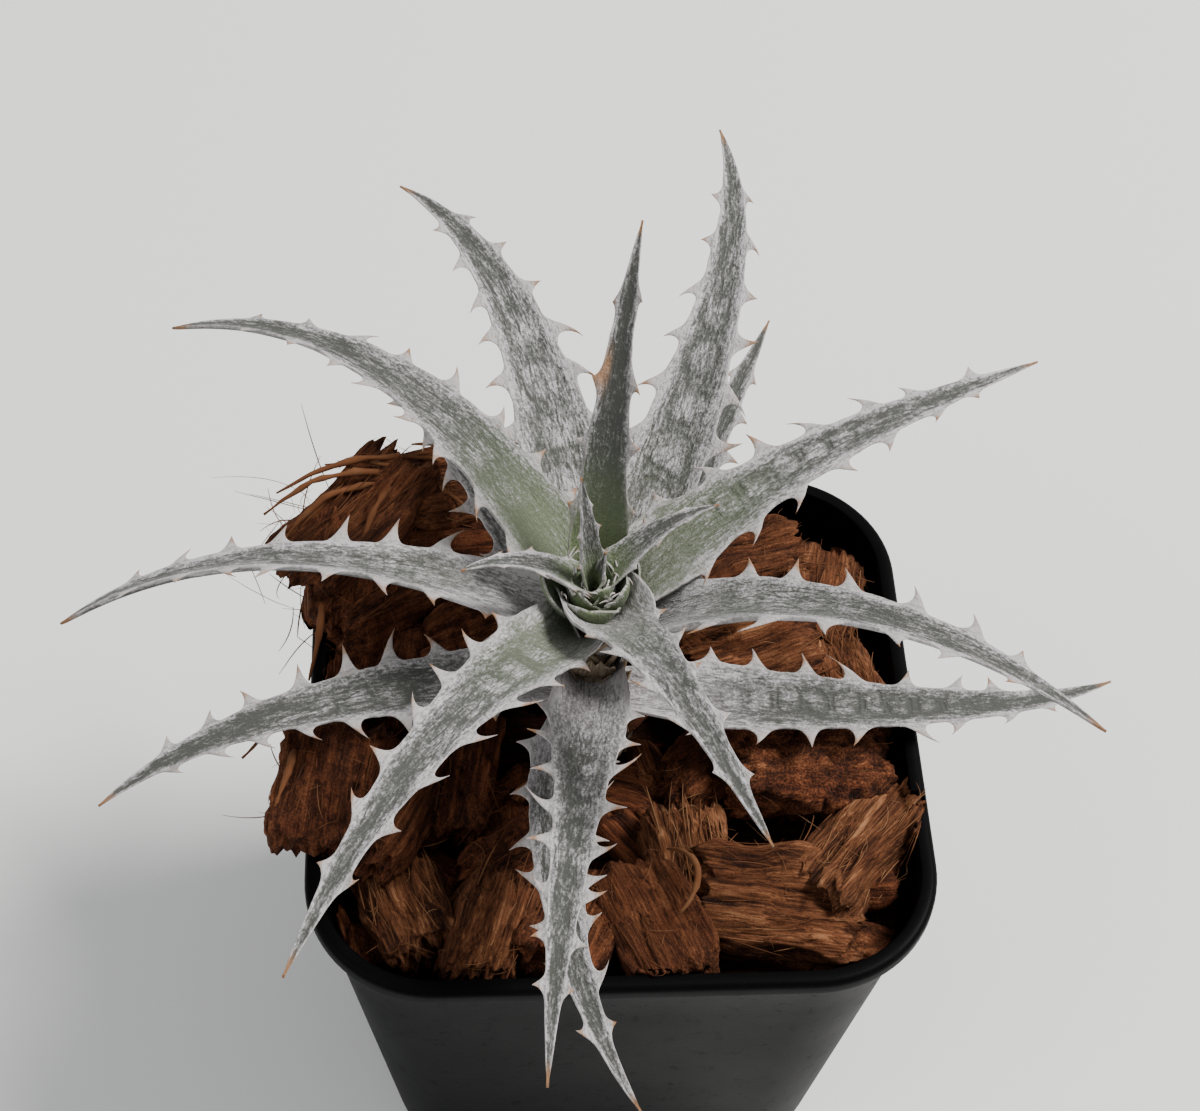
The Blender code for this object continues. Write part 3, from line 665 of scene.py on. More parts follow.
def leaf_material(name):
    """Green flesh under pale powdery scales, with bud prints, fine lines and brown spine tips."""
    g = Graph(name)
    x, y, seed = g.attribute("leaf_mm")
    way, body, under = g.attribute("leaf_way")
    plate_x, plate_y, inside = g.attribute("leaf_plate")
    fresh, scurf, spined = g.attribute("leaf_tone")
    thorn, hurt, _unused = g.attribute("leaf_thorn")
    top = g.math("SUBTRACT", 1.0, under)

    def grain(along, across, shift=0.0, detail=3, distortion=0.0):
        """Noise from -0.5 to 0.5 with so many features a millimetre along and across the leaf."""
        vector = g.vector(g.times(x, along), g.times(y, across), g.add(seed, shift))
        return g.add(g.noise(vector, detail=detail, distortion=distortion), -0.5)

    # How the scales lie: broad patches, long streaks, rows of short dashes, and powder
    broad = grain(0.12, 0.30)
    streak = grain(0.20, 1.5, 2.0, 4, 0.4)
    dashes = grain(1.0, 2.5, 4.0)
    rows_of = g.add(g.between(dashes, -0.08, 0.08), -0.5)
    powder = grain(3.0, 3.4, 6.0)
    across = grain(1.8, 0.6, 8.0, 2)
    outer = g.between(way, 0.25, 0.75)
    green_root = g.times(fresh, g.between(way, 0.0, 0.46, 1.0, 0.0))
    # Paler lower bases: a real mauve-white tint, strengthened as painted light against the crown's
    # shade
    pale_root_and_painted_light = g.times(g.math("SUBTRACT", 1.0, fresh), g.between(way, 0.04, 0.30, 1.0, 0.0))
    cover = g.total(
        g.add(scurf, -0.06),
        (broad, 0.85),
        (streak, g.add(g.times(outer, 0.85), 0.58)),
        (outer, g.between(body, 0.1, 0.8, -0.15, 0.04)),
        (dashes, 0.55),
        (rows_of, 0.20),
        (powder, 1.05),
        (across, 0.26),
        (g.between(body, 0.45, 1.0, -0.03, 0.31), 1.0),
        (green_root, -0.30),
        (pale_root_and_painted_light, 0.24),
    )

    # Bud prints: pale rounded plates in a row, with soft dark edges
    spot = g.vector(g.times(plate_x, 0.9), g.times(plate_y, 0.35), g.add(seed, 11.0))
    bend = g.add(g.noise(spot, detail=1), -0.5)
    ragged = grain(1.1, 1.6, 16.0, 2)
    cell = g.add(g.math("FRACT", g.total(plate_x, (bend, 0.5))), -0.5)
    local_x = g.math("ABSOLUTE", g.total(cell, (ragged, 0.10)))
    local_y = g.math("ABSOLUTE", g.total(plate_y, (bend, 1.3), (ragged, 0.25)))
    out_x = g.math("MAXIMUM", g.add(local_x, -0.13), 0.0)
    out_y = g.math("MAXIMUM", g.times(g.add(local_y, -0.30), 0.42), 0.0)
    radius = g.math("SQRT", g.add(g.math("POWER", out_x, 2.0), g.math("POWER", out_y, 2.0)))
    clear = g.between(g.noise(spot, scale=1.7, detail=1), 0.40, 0.60, 0.35, 1.0)
    outline = g.between(g.math("ABSOLUTE", g.add(radius, -0.28)), 0.0, 0.11, 1.0, 0.0)
    line = g.times(g.times(g.times(outline, clear), inside), top)
    middle = g.times(g.times(g.between(radius, 0.06, 0.26, 1.0, 0.0), inside), top)
    # Fine dark lines that wander along the leaf
    level = g.math("ABSOLUTE", grain(0.11, 0.75, 51.0, 2, 0.5))
    patchy = g.between(broad, -0.12, 0.10, 0.35, 1.0)
    wandering = g.times(g.between(level, 0.010, 0.042, 1.0, 0.0), patchy)
    wandering = g.times(wandering, g.between(body, 0.75, 0.95, 1.0, 0.0))
    # The underside shows its lines more
    rows = g.add(g.times(grain(0.05, 2.6, 15.0, 2), 1.3), -0.06)
    cover = g.total(cover, (middle, 0.24), (line, -0.17), (wandering, -0.40), (under, rows))
    cover = g.add(g.times(cover, 1.22), -0.15)

    skin = g.ramp(
        cover,
        (0.05, (0.052, 0.054, 0.047)),
        (0.30, (0.097, 0.099, 0.091)),
        (0.55, (0.182, 0.180, 0.175)),
        (0.80, (0.322, 0.312, 0.316)),
        (1.0, (0.480, 0.462, 0.468)),
    )
    fine = g.add(powder, 0.5)
    green = g.mix(fine, (0.072, 0.108, 0.038), (0.200, 0.252, 0.122))
    skin = g.mix(g.times(green_root, g.between(cover, 0.25, 0.85, 0.9, 0.3)), skin, green)
    # Lower bases are a warm, faintly mauve white, made paler still as painted light where the crown
    # shades them
    mauve = g.mix(cover, (0.20, 0.175, 0.185), (0.52, 0.49, 0.50))
    skin = g.mix(g.times(pale_root_and_painted_light, 0.65), skin, mauve)
    # The margins and the spines are pinkish white, with brown nicks and tips
    margin = g.math("MAXIMUM", g.between(body, 0.90, 1.0, 0.0, 0.40), g.times(spined, 0.85))
    skin = g.mix(margin, skin, g.mix(fine, (0.335, 0.305, 0.295), (0.540, 0.505, 0.490)))
    at_edge = g.between(body, 0.90, 0.99, 0.0, 0.75)
    nick = g.times(g.between(grain(0.8, 1.0, 25.0), 0.17, 0.26), at_edge)
    skin = g.mix(nick, skin, (0.30, 0.155, 0.072))
    patch = g.between(grain(0.22, 0.3, 21.0, 2), -0.10, 0.10, 0.15, 1.0)
    tip = g.times(g.between(thorn, 0.42, 0.82), patch)
    skin = g.mix(tip, skin, g.mix(fine, (0.170, 0.072, 0.034), (0.42, 0.235, 0.120)))
    # Small dark specks, the dry end of the leaf, and one leaf's scar
    speck = g.between(grain(1.2, 1.7, 41.0, 2), 0.22, 0.29)
    skin = g.mix(g.times(speck, 0.30), skin, (0.050, 0.046, 0.036))
    end = g.between(way, 0.950, 0.985)
    skin = g.mix(end, skin, g.mix(fine, (0.130, 0.058, 0.030), (0.34, 0.185, 0.085)))
    scar = g.math("MINIMUM", g.times(hurt, g.add(g.times(streak, 2.6), 1.1)), 0.9)
    skin = g.mix(scar, skin, g.mix(fine, (0.24, 0.100, 0.040), (0.48, 0.28, 0.15)))

    height = g.total(
        g.times(dashes, 0.9), (powder, 0.55), (streak, 0.8), (line, -0.45), (middle, 0.6)
    )
    normal = g.bump(height, 1.0, 0.32 * MM)
    roughness = g.between(cover, 0.15, 0.75, 0.60, 0.90)
    return g.finish(
        skin, roughness, normal, Specular_IOR_Level=0.30, Sheen_Weight=0.10, Sheen_Roughness=0.5
    )


def husk_material(name):
    """Coconut husk: long fibres in rust-brown pith, darkened throughout as painted shade of the
    leaves and the pot.
    """
    g = Graph(name)
    x, y, z = g.attribute("husk_mm")
    tone, crumb, relief_and_shade = g.attribute("husk_tone")

    def grain(along, across, **settings):
        """Noise with so many features a millimetre along and across the grain."""
        spot = g.vector(g.times(x, along), g.times(y, across), g.times(z, across))
        return g.noise(spot, **settings)

    fibres = grain(0.14, 2.6, detail=5, roughness=0.62)
    strands = grain(0.07, 0.9)
    grit = grain(2.4, 2.4, detail=4, roughness=0.65)
    broad = grain(0.11, 0.16, detail=2)
    lines = g.mix(crumb, fibres, grit)
    value = g.add(g.times(g.add(lines, -0.5), 1.5), 0.46)
    # Raised ridges and layers are painted lighter and pits darker: painted light and shade on the
    # chips
    value = g.total(value, (g.add(strands, -0.5), 0.7), (relief_and_shade, 0.34))
    # Both ramps are kept dark: a painted shade of the leaves and the pot over the husk
    rust = g.ramp(
        value,
        (0.08, (0.0080, 0.0030, 0.0022)),
        (0.34, (0.039, 0.0112, 0.0050)),
        (0.60, (0.115, 0.0325, 0.0130)),
        (0.95, (0.280, 0.098, 0.040)),
    )
    tan = g.ramp(
        value,
        (0.05, (0.015, 0.0060, 0.0038)),
        (0.32, (0.064, 0.0235, 0.0100)),
        (0.60, (0.180, 0.075, 0.032)),
        (0.95, (0.440, 0.238, 0.118)),
    )
    share = g.add(tone, g.times(g.add(broad, -0.5), 0.8), clamp=True)
    normal = g.bump(g.total(fibres, (grit, 0.6)), 0.9, 0.5 * MM)
    return g.finish(g.mix(share, rust, tan), 0.93, normal, Specular_IOR_Level=0.15)


def fibre_material(name):
    """Loose husk fibre, from dark rust to straw, darkened throughout as painted shade."""
    g = Graph(name)
    x, tone, seed = g.attribute("husk_mm")
    shade = g.noise(g.vector(g.times(x, 0.25), seed, 0.0), detail=2)
    # The ramp is kept dark: a painted shade of the leaves and the pot over the fibres
    colour = g.ramp(
        g.total(tone, (g.add(shade, -0.5), 0.5)),
        (0.0, (0.045, 0.016, 0.007)),
        (0.4, (0.140, 0.054, 0.022)),
        (0.75, (0.245, 0.125, 0.060)),
        (1.0, (0.400, 0.255, 0.145)),
    )
    return g.finish(colour, 0.9, Specular_IOR_Level=0.15)


def pot_material(name):
    """Black moulded polypropylene with a satin skin and a little dust."""
    g = Graph(name)
    place = g.place()
    grain = g.noise(place, scale=1.6)
    fine = g.noise(place, scale=7.0, detail=2)
    broad = g.noise(place, scale=0.045)
    dust = g.between(g.noise(place, scale=0.35, detail=5, roughness=0.7), 0.55, 0.80)
    colour = g.mix(broad, (0.0014, 0.0014, 0.0016), (0.0022, 0.0022, 0.0025))
    colour = g.mix(g.times(dust, 0.025), colour, (0.07, 0.060, 0.05))
    roughness = g.total(g.between(broad, 0.3, 0.7, 0.44, 0.48), (dust, 0.15))
    normal = g.bump(g.total(g.times(grain, 0.8), (fine, 0.3)), 0.22, 0.12 * MM)
    return g.finish(colour, roughness, normal, Specular_IOR_Level=0.035)


def stem_material(name):
    """Dry leaf bases: papery tan and grey, with dark gaps."""
    g = Graph(name)
    x, y, tone = g.attribute("stem_mm")
    lines = g.noise(g.vector(g.times(x, 2.4), g.times(y, 0.22), tone), detail=4)
    broad = g.noise(g.vector(g.times(x, 0.3), g.times(y, 0.3), tone))
    colour = g.ramp(
        g.add(g.total(g.times(lines, 0.8), (broad, 0.5)), -0.15),
        (0.15, (0.050, 0.034, 0.020)),
        (0.45, (0.230, 0.170, 0.105)),
        (0.8, (0.520, 0.460, 0.370)),
    )
    return g.finish(colour, 0.88, g.bump(lines, 0.8, 0.3 * MM), Specular_IOR_Level=0.25)


# ---- Husk ----
def box_grid(counts):
    """Points from -1 to 1 over a box's surface, and its faces."""
    index, points, faces = {}, [], []

    def corner(place):
        if place not in index:
            index[place] = len(points)
            points.append(tuple(2 * p / count - 1 for p, count in zip(place, counts)))
        return index[place]

    # The two axes that a pair of sides spans, the axis across it, and if its low side is turned
    for first, second, fixed, low_turned in ((0, 1, 2, True), (0, 2, 1, False), (1, 2, 0, True)):
        for i, j in itertools.product(range(counts[first]), range(counts[second])):
            for end in (0, counts[fixed]):
                face = []
                for a, b in ((i, j), (i + 1, j), (i + 1, j + 1), (i, j + 1)):
                    place = [end, end, end]
                    place[first], place[second] = a, b
                    face.append(corner(tuple(place)))
                faces.append(tuple(face[::-1] if (end == 0) == low_turned else face))
    return np.array(points), faces


def chip_turn(chip):
    turn = Matrix.Rotation(math.radians(chip.turn), 3, "Z")
    tilt = Matrix.Rotation(math.radians(chip.tilt), 3, "X")
    lean = Matrix.Rotation(math.radians(chip.lean), 3, "Y")
    return np.array(turn @ tilt @ lean)


def chip_points(grid, chip, striped, crumbly, seed):
    """Points (mm, in the part's frame), points along the grain, and the height of the bumps and
    pits at each, which the husk material also paints as light and shade.
    """
    square = 6.5
    size = (np.abs(grid) ** square).sum(axis=1) ** (1 / square)
    ball = grid / size[:, None]
    half = np.array([chip.length, chip.width, chip.depth]) / 2
    local = ball * half * 1.04
    outward = np.sign(ball) * np.abs(ball) ** (square - 1) / half
    outward /= np.linalg.norm(outward, axis=1)[:, None]
    offset = np.array([seed * 31.7, seed * 11.3, seed * 5.9])
    bend = np.stack([noise(local * 0.11 + offset + k * 40) for k in range(3)], axis=1)
    clip = noise(local * 0.17 + offset + 90)
    stretched = local * np.array([0.10, 0.95, 0.95]) + offset
    ridges = 1 - 2.4 * np.abs(rough_noise(stretched, 4))
    layers = noise(local * np.array([0.07, 0.55, 0.9]) + offset + 61) * 2.6
    layers = (np.floor(layers) + smooth(layers - np.floor(layers), 0.35, 0.65)) / 2.6
    slivers = noise(local * np.array([0.20, 1.9, 1.9]) + offset + 7)
    crumbs = rough_noise(local * 0.62 + offset + 50, 4)
    pits = -np.maximum(noise(local * 0.9 + offset + 77) - 0.25, 0) * 1.6
    # The height of the surface also goes to the material, which paints it as light and shade
    relief_and_shade = striped * (0.50 * ridges + 0.62 * layers + 0.34 * slivers)
    relief_and_shade = relief_and_shade + crumbly * (1.15 * crumbs + pits) - 0.30 * striped
    torn = noise(local * np.array([0.0, 0.95, 0.95]) + offset + 23)
    torn = torn + 0.5 * noise(local * np.array([0.0, 2.2, 2.2]) + offset + 29)
    fray = np.abs(ball[:, :1]) ** 5 * np.sign(ball[:, :1]) * torn[:, None] * (0.8 + 2.2 * striped)
    moved = local + bend * 1.4 + outward * (relief_and_shade * 0.95 + clip * 1.2)[:, None]
    moved[:, :1] += fray
    scale = min(1.0, chip.depth / 8)
    moved = local + (moved - local) * scale
    world = moved @ chip_turn(chip).T + np.array([chip.x, chip.y, HUSK_TOP / MM + chip.z])
    return world, moved + offset * 3, np.clip(relief_and_shade, -1, 1)


def wall_at(z):
    """Half size and corner radius of the pot's outer wall at a height."""
    share = z / POT_HEIGHT
    half = BASE_HALF + (LIP_HALF - LIP_OVERHANG - BASE_HALF) * share
    return half, BASE_RADIUS + (LIP_RADIUS - LIP_OVERHANG - BASE_RADIUS) * share


def keep_in_pot(points):
    """Moves what would stand in the pot's wall inwards, or up onto the lip. Millimetres."""
    points = points.copy()
    top = POT_HEIGHT / MM
    below = points[:, 2] < top + 0.5
    half, radius = wall_at(np.minimum(points[:, 2], top) * MM)
    half = half / MM - WALL / MM - 0.5
    radius = radius / MM - WALL / MM - 0.5
    flat = points[:, :2]
    reach = np.maximum(np.abs(flat) - (half - radius)[:, None], 0)
    distance = np.hypot(reach[:, 0], reach[:, 1]) - radius
    outside = below & (distance > 0)
    rise = outside & (points[:, 2] > top - 4.5) & (distance > 0.3)
    points[rise, 2] = top + 0.6
    pull = outside & ~rise
    shrink = (radius / np.maximum(distance + radius, 1e-6))[:, None]
    inner = np.sign(flat) * (np.minimum(np.abs(flat), (half - radius)[:, None]) + reach * shrink)
    points[pull, :2] = inner[pull]
    return points


def tube(path, widths, sides=4):
    """A closed thin tube along points, each with its own radius."""
    path = np.asarray(path, float)
    ahead = np.gradient(path, axis=0)
    ahead /= np.linalg.norm(ahead, axis=1)[:, None] + 1e-12
    guide = np.array([0.31, 0.22, 0.92])
    across = np.cross(ahead, guide)
    across /= np.linalg.norm(across, axis=1)[:, None] + 1e-12
    other = np.cross(ahead, across)
    angles = (np.arange(sides) * 2 * math.pi / sides)[None, :, None]
    circle = np.cos(angles) * across[:, None] + np.sin(angles) * other[:, None]
    rings = path[:, None] + widths[:, None, None] * circle
    return rings.reshape(-1, 3), ring_faces(len(path), sides)


def add_chip(chips, box, chip, tone, striped, crumbly, seed):
    """One fine husk chip, kept out of the pot's wall."""
    grid, faces = box
    world, local, relief_and_shade = chip_points(grid, chip, striped, crumbly, seed)
    # The third number is the surface height, which the husk material paints as light and shade
    tones_and_shade = np.stack([0 * relief_and_shade + tone, 0 * relief_and_shade + crumbly, relief_and_shade], axis=1)
    chips.add(keep_in_pot(world) * MM, faces, husk_mm=local, husk_tone=tones_and_shade)


def make_chips(material):
    """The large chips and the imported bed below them."""
    chips = Gather("husk_mm", "husk_tone")
    box = box_grid((34, 28, 10))
    for number, (chip, tone, striped, crumbly) in enumerate(CHIPS):
        add_chip(chips, box, chip, tone, striped, crumbly, number + 1.0)
    loft_husk_bed(chips)
    return chips.piece("husk_chips_fine", material)


def make_bits(material, draw):
    """Small broken chips between and below the large ones, but not against the stem."""
    bits = Gather("husk_mm", "husk_tone")
    box = box_grid((12, 8, 5))
    for number in range(BITS):
        chip = Chip(
            x=draw.uniform(-44, 44),
            y=draw.uniform(-44, 44),
            z=draw.uniform(-1.5, 3.5),
            length=draw.uniform(7, 15),
            width=draw.uniform(5, 9),
            depth=draw.uniform(3.5, 6),
            turn=draw.uniform(0, 180),
            tilt=draw.uniform(-30, 30),
            lean=draw.uniform(-25, 25),
        )
        striped = draw.uniform(0.2, 1)
        if np.hypot(chip.x - STEM_X / MM, chip.y) >= 9:
            tone = draw.uniform(0.02, 0.45)
            add_chip(bits, box, chip, tone, striped, 1 - striped, number + 60.0)
    return bits.piece("husk_bits", material)


def make_fibres(material, draw):
    """Strands and fuzz on every chip, loose ends, and torn strips over the heap."""
    fibres = Gather("husk_mm")
    for chip, tone, striped, crumbly in CHIPS:
        turn = chip_turn(chip)
        seat = np.array([chip.x, chip.y, HUSK_TOP / MM + chip.z])
        # Strands that lie along the grain, some lifting at an end
        for _ in range(int(46 * striped * (1 - 0.6 * crumbly))):
            along = draw.uniform(-0.55, 0.30) * chip.length
            across = draw.uniform(-0.48, 0.48) * chip.width
            start = seat + turn @ np.array([along, across, chip.depth * draw.uniform(0.50, 0.58)])
            ahead = turn @ np.array([*polar(1, draw.gauss(0, 0.10)), draw.gauss(0.0, 0.05)])
            shade = 0.75 * tone + draw.uniform(-0.20, 0.20)
            length = draw.uniform(4, 11)
            add_fibre(fibres, draw, start, ahead, length, draw.uniform(0.05, 0.15), shade, 0.30)
        # Fine fuzz that stands off the chip every way
        for _ in range(36):
            along = draw.uniform(-0.5, 0.5) * chip.length
            across = draw.uniform(-0.5, 0.5) * chip.width
            start = seat + turn @ np.array([along, across, 0.5 * chip.depth])
            heading = draw.uniform(0, 2 * math.pi)
            ahead = np.array([math.cos(heading), 0.6 * math.sin(heading), draw.uniform(-0.1, 0.4)])
            shade = 0.6 * tone + draw.uniform(0.0, 0.45)
            length = draw.uniform(2, 6)
            radius = draw.uniform(0.03, 0.07)
            add_fibre(fibres, draw, start, turn @ ahead, length, radius, shade, 1.7)
    for patch in LOOSE_ENDS:
        for _ in range(patch.count):
            x = patch.x + draw.gauss(0, patch.spread * 0.6)
            y = patch.y + draw.gauss(0, patch.spread * 0.6)
            start = np.array([x, y, TOP_MM + patch.z - 9 + draw.uniform(-2, 2)])
            angle = draw.uniform(0, 2 * math.pi)
            if patch.heading is not None:
                angle = math.radians(patch.heading) + draw.gauss(0, 0.16)
                start -= np.array([*polar(1, angle), 0]) * patch.shortest / 2
            ahead = np.array([*polar(1, angle), draw.uniform(-0.10, 0.25)])
            shade = patch.tone + draw.uniform(-0.25, 0.25)
            length = draw.uniform(patch.shortest, patch.longest)
            radius = draw.uniform(0.06, 0.15)
            add_fibre(fibres, draw, start, ahead, length, radius, shade, patch.curl)
    for strip in STRIPS:
        add_strip(fibres, *strip)
    return fibres.piece("husk_fibres", material)


def add_strip(fibres, start, heading, bend, length, tone, steps=16, sides=8):
    """A torn strip of husk that arches over the heap."""
    path, angle = [np.array(start, float)], math.radians(heading)
    for _ in range(steps):
        angle += math.radians(bend) / steps
        path.append(path[-1] + np.array([*polar(1, angle), 0]) * length / steps)
    path = np.array(path)
    t = np.linspace(0, 1, steps + 1)
    path[:, 2] = start[2] + 3.2 * np.sin(math.pi * t) + 0.5 * noise(path * 0.4)
    widths = 0.56 * (0.25 + 0.75 * np.sin(math.pi * np.clip(t, 0.04, 0.96)))
    widths = widths * (1 + 0.55 * noise(path * 1.1 + 9))
    add_tube(fibres, path, widths, sides, t * length, tone, length)


def add_tube(fibres, path, widths, sides, along, tone, seed):
    """A tube with what the fibre material reads."""
    points, faces = tube(path, widths, sides)
    same = np.ones(len(points))
    values = np.stack([np.repeat(along, sides), same * tone, same * seed], axis=1)
    fibres.add(points * MM, faces, husk_mm=values)


def add_fibre(fibres, draw, start, ahead, length, radius, tone, curliness, steps=9, sides=4):
    """One curved fibre, thinner at its ends."""
    ahead = ahead / np.linalg.norm(ahead)
    curl = np.array([draw.gauss(0, 1), draw.gauss(0, 1), draw.gauss(-0.25, 0.6)])
    curl = curl * draw.uniform(0.3, 1.6) * curliness
    path = [np.array(start, float)]
    for _ in range(steps - 1):
        ahead = ahead + curl / steps
        ahead = ahead / np.linalg.norm(ahead)
        path.append(path[-1] + ahead * length / (steps - 1))
    path = keep_in_pot(np.array(path))
    path[:, 2] = np.maximum(path[:, 2], HUSK_TOP / MM - 1)
    t = np.linspace(0, 1, steps)
    widths = radius * (0.35 + 0.65 * np.sin(math.pi * np.clip(t * 0.9 + 0.08, 0, 1)))
    add_tube(fibres, path, widths, sides, t * length, min(max(tone, 0), 1), draw.uniform(0, 50))


def rounded_square(half, radius, steps):
    """Points round a square with rounded corners, counter-clockwise."""
    points = []
    centre = (half - radius) * math.sqrt(2)
    for corner in range(4):
        side = math.radians(90 * corner + 45)
        for step in range(steps + 1):
            x, y = polar(radius, math.radians(90 * corner + 90 * step / steps))
            points.append((centre * math.cos(side) + x, centre * math.sin(side) + y))
    return points


def loft_husk_bed(chips):
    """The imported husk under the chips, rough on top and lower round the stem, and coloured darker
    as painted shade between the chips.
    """
    high = HUSK_TOP
    margin = WALL + 2 * GAP
    levels = [(z, 1.0) for z in np.linspace(FLOOR + GAP, high, 10)]
    levels += [(high, share) for share in (0.85, 0.7, 0.55, 0.4, 0.25)]
    rings = []
    for z, share in levels:
        half, radius = wall_at(z)
        outline = rounded_square(half - margin, radius - margin, 8)
        rings.append([(x * share, y * share, z) for x, y in outline])
    points = np.array([p for ring in rings for p in ring])
    top = points[:, 2] > high - 1e-6
    bumps = rough_noise(points / MM * 0.25, 3)
    points[:, 2] += np.where(top, bumps * 1.6 * MM - 1.0 * MM, 0)
    away = np.hypot(points[:, 0] - STEM_X, points[:, 1] - STEM_Y)
    points[:, 2] -= np.where(top & (away < 9 * MM), 3 * MM, 0)
    # Its low third number paints the bed darker: painted shade in the gaps between the chips
    tones_and_shade = np.tile([0.05, 0.6, -0.7], (len(points), 1))
    faces = ring_faces(len(rings), len(rings[0]))
    chips.add(points, faces, husk_mm=points / MM, husk_tone=tones_and_shade)


# ---- Stem ----
def make_stem(material):
    """A core covered by the stubs of old leaf bases."""
    stem = Gather("stem_mm")
    rows, ring = 26, 28
    points, values = [], []
    for share in (row / (rows - 1) for row in range(rows)):
        z = STEM_FOOT + (STEM_TOP - STEM_FOOT) * share
        radius = STEM_FOOT_RADIUS + (STEM_TOP_RADIUS - STEM_FOOT_RADIUS) * share
        for turn in (2 * math.pi * k / ring for k in range(ring)):
            x, y = polar(radius, turn)
            points.append((STEM_X + x, STEM_Y + y, z))
            values.append((turn * 5, z / MM, 2.0))
    stem.add(points, ring_faces(rows, ring), stem_mm=np.array(values))
    # Stubs climb in the same spiral as the leaves
    draw = random.Random(52)
    for number in range(STUBS):
        z = POT_HEIGHT - 12 * MM + 38 * MM * number / STUBS
        turn = math.radians(GOLDEN_ANGLE * number + draw.uniform(-8, 8))
        add_stub(stem, draw, turn, z)
    return stem.piece("stem_bark", material)


def add_stub(stem, draw, turn, z, across=9, along=7):
    """One dry leaf base: a short curved plate that hugs the stem and ends in a torn edge."""
    width = draw.uniform(5.5, 8.0) * MM
    tall = draw.uniform(3.5, 7.0) * MM
    lean = draw.uniform(0.12, 0.42)
    radius = STEM_FOOT_RADIUS - (z - STEM_FOOT) / (STEM_TOP - STEM_FOOT) * 2.0 * MM
    tone = draw.uniform(0, 60)
    points, values = [], []
    for inner in (False, True):
        for row, column in itertools.product(range(along), range(across)):
            t = row / (along - 1)
            u = 2 * column / (across - 1) - 1
            ragged = 1 + 0.22 * float(noise(np.array([u * 3.1, t * 2.0, tone])))
            angle = turn + u * width * (1 - 0.5 * t) / 2 / radius
            thick = 0.15 * MM if inner else 0.62 * MM * (1 - 0.5 * t)
            out = radius - 0.2 * MM + t * tall * lean + thick
            x, y = polar(out, angle)
            points.append((STEM_X + x, STEM_Y + y, z + t * tall * ragged - 0.25 * tall * u * u))
            values.append((u * width / MM / 2, t * tall / MM, tone))
    sheet = along * across
    faces = []
    for row, column in itertools.product(range(along - 1), range(across - 1)):
        a = row * across + column
        faces.append((a, a + 1, a + across + 1, a + across))
        faces.append((sheet + a, sheet + a + across, sheet + a + across + 1, sheet + a + 1))
    rim = list(range(across))
    rim += [row * across + across - 1 for row in range(1, along)]
    rim += [(along - 1) * across + column for column in range(across - 2, -1, -1)]
    rim += [row * across for row in range(along - 2, 0, -1)]
    for a, b in zip(rim, rim[1:] + rim[:1]):
        faces.append((a, sheet + a, sheet + b, b))
    stem.add(points, faces, stem_mm=np.array(values))


# ---- Pot ----
def make_pot(material):
    """The wall with its lip and floor, from the underside up over the lip and down inside."""
    lip_low = POT_HEIGHT - LIP_DEPTH
    foot, lip = wall_at(0), (LIP_HALF, LIP_RADIUS)
    sections = []

    def section(outline, by, z):
        """One ring of the wall, so far outside an outline."""
        sections.append((outline[0] + by, outline[1] + by, z))

    for by, z in ((-1.6, 0), (-1.0, 0.08), (-0.35, 0.5), (0.0, 1.3)):
        section(foot, by * MM, z * MM)
    for share in (0.1, 0.25, 0.4, 0.55, 0.7, 0.85):
        section(wall_at(lip_low * share), 0.0, lip_low * share)
    for by, z in ((0.0, -0.5), (0.15, -0.12), (0.5, 0.0)):
        section(wall_at(lip_low), by * MM, lip_low + z * MM)
    for by, z in ((-0.35, 0.02), (-0.08, 0.2), (0.0, 0.5)):
        section(lip, by * MM, lip_low + z * MM)
    section(lip, 0.0, POT_HEIGHT - LIP_ROUND)
    for turn in (math.radians(angle) for angle in range(10, 91, 16)):
        height = POT_HEIGHT - LIP_ROUND * (1 - math.sin(turn))
        section(lip, -LIP_ROUND * (1 - math.cos(turn)), height)
    for by, z in ((0.75, 0.0), (0.30, -0.12), (0.06, -0.45), (0.0, -0.9)):
        section(wall_at(POT_HEIGHT), by * MM - WALL, POT_HEIGHT + z * MM)
    for share in (0.9, 0.75, 0.55, 0.3, 0.1):
        section(wall_at(POT_HEIGHT * share), -WALL, POT_HEIGHT * share)
    for by, z in ((0.0, 1.5), (-0.4, 0.4), (-1.5, 0.0)):
        section(foot, by * MM - WALL, FLOOR + z * MM)
    rings = [[(x, y, z) for x, y in rounded_square(half, r, 20)] for half, r, z in sections]
    points = [point for ring in rings for point in ring]
    pot = mesh_piece("pot_shell", points, ring_faces(len(rings), len(rings[0])), material)
    cut_drains(pot)
    return pot


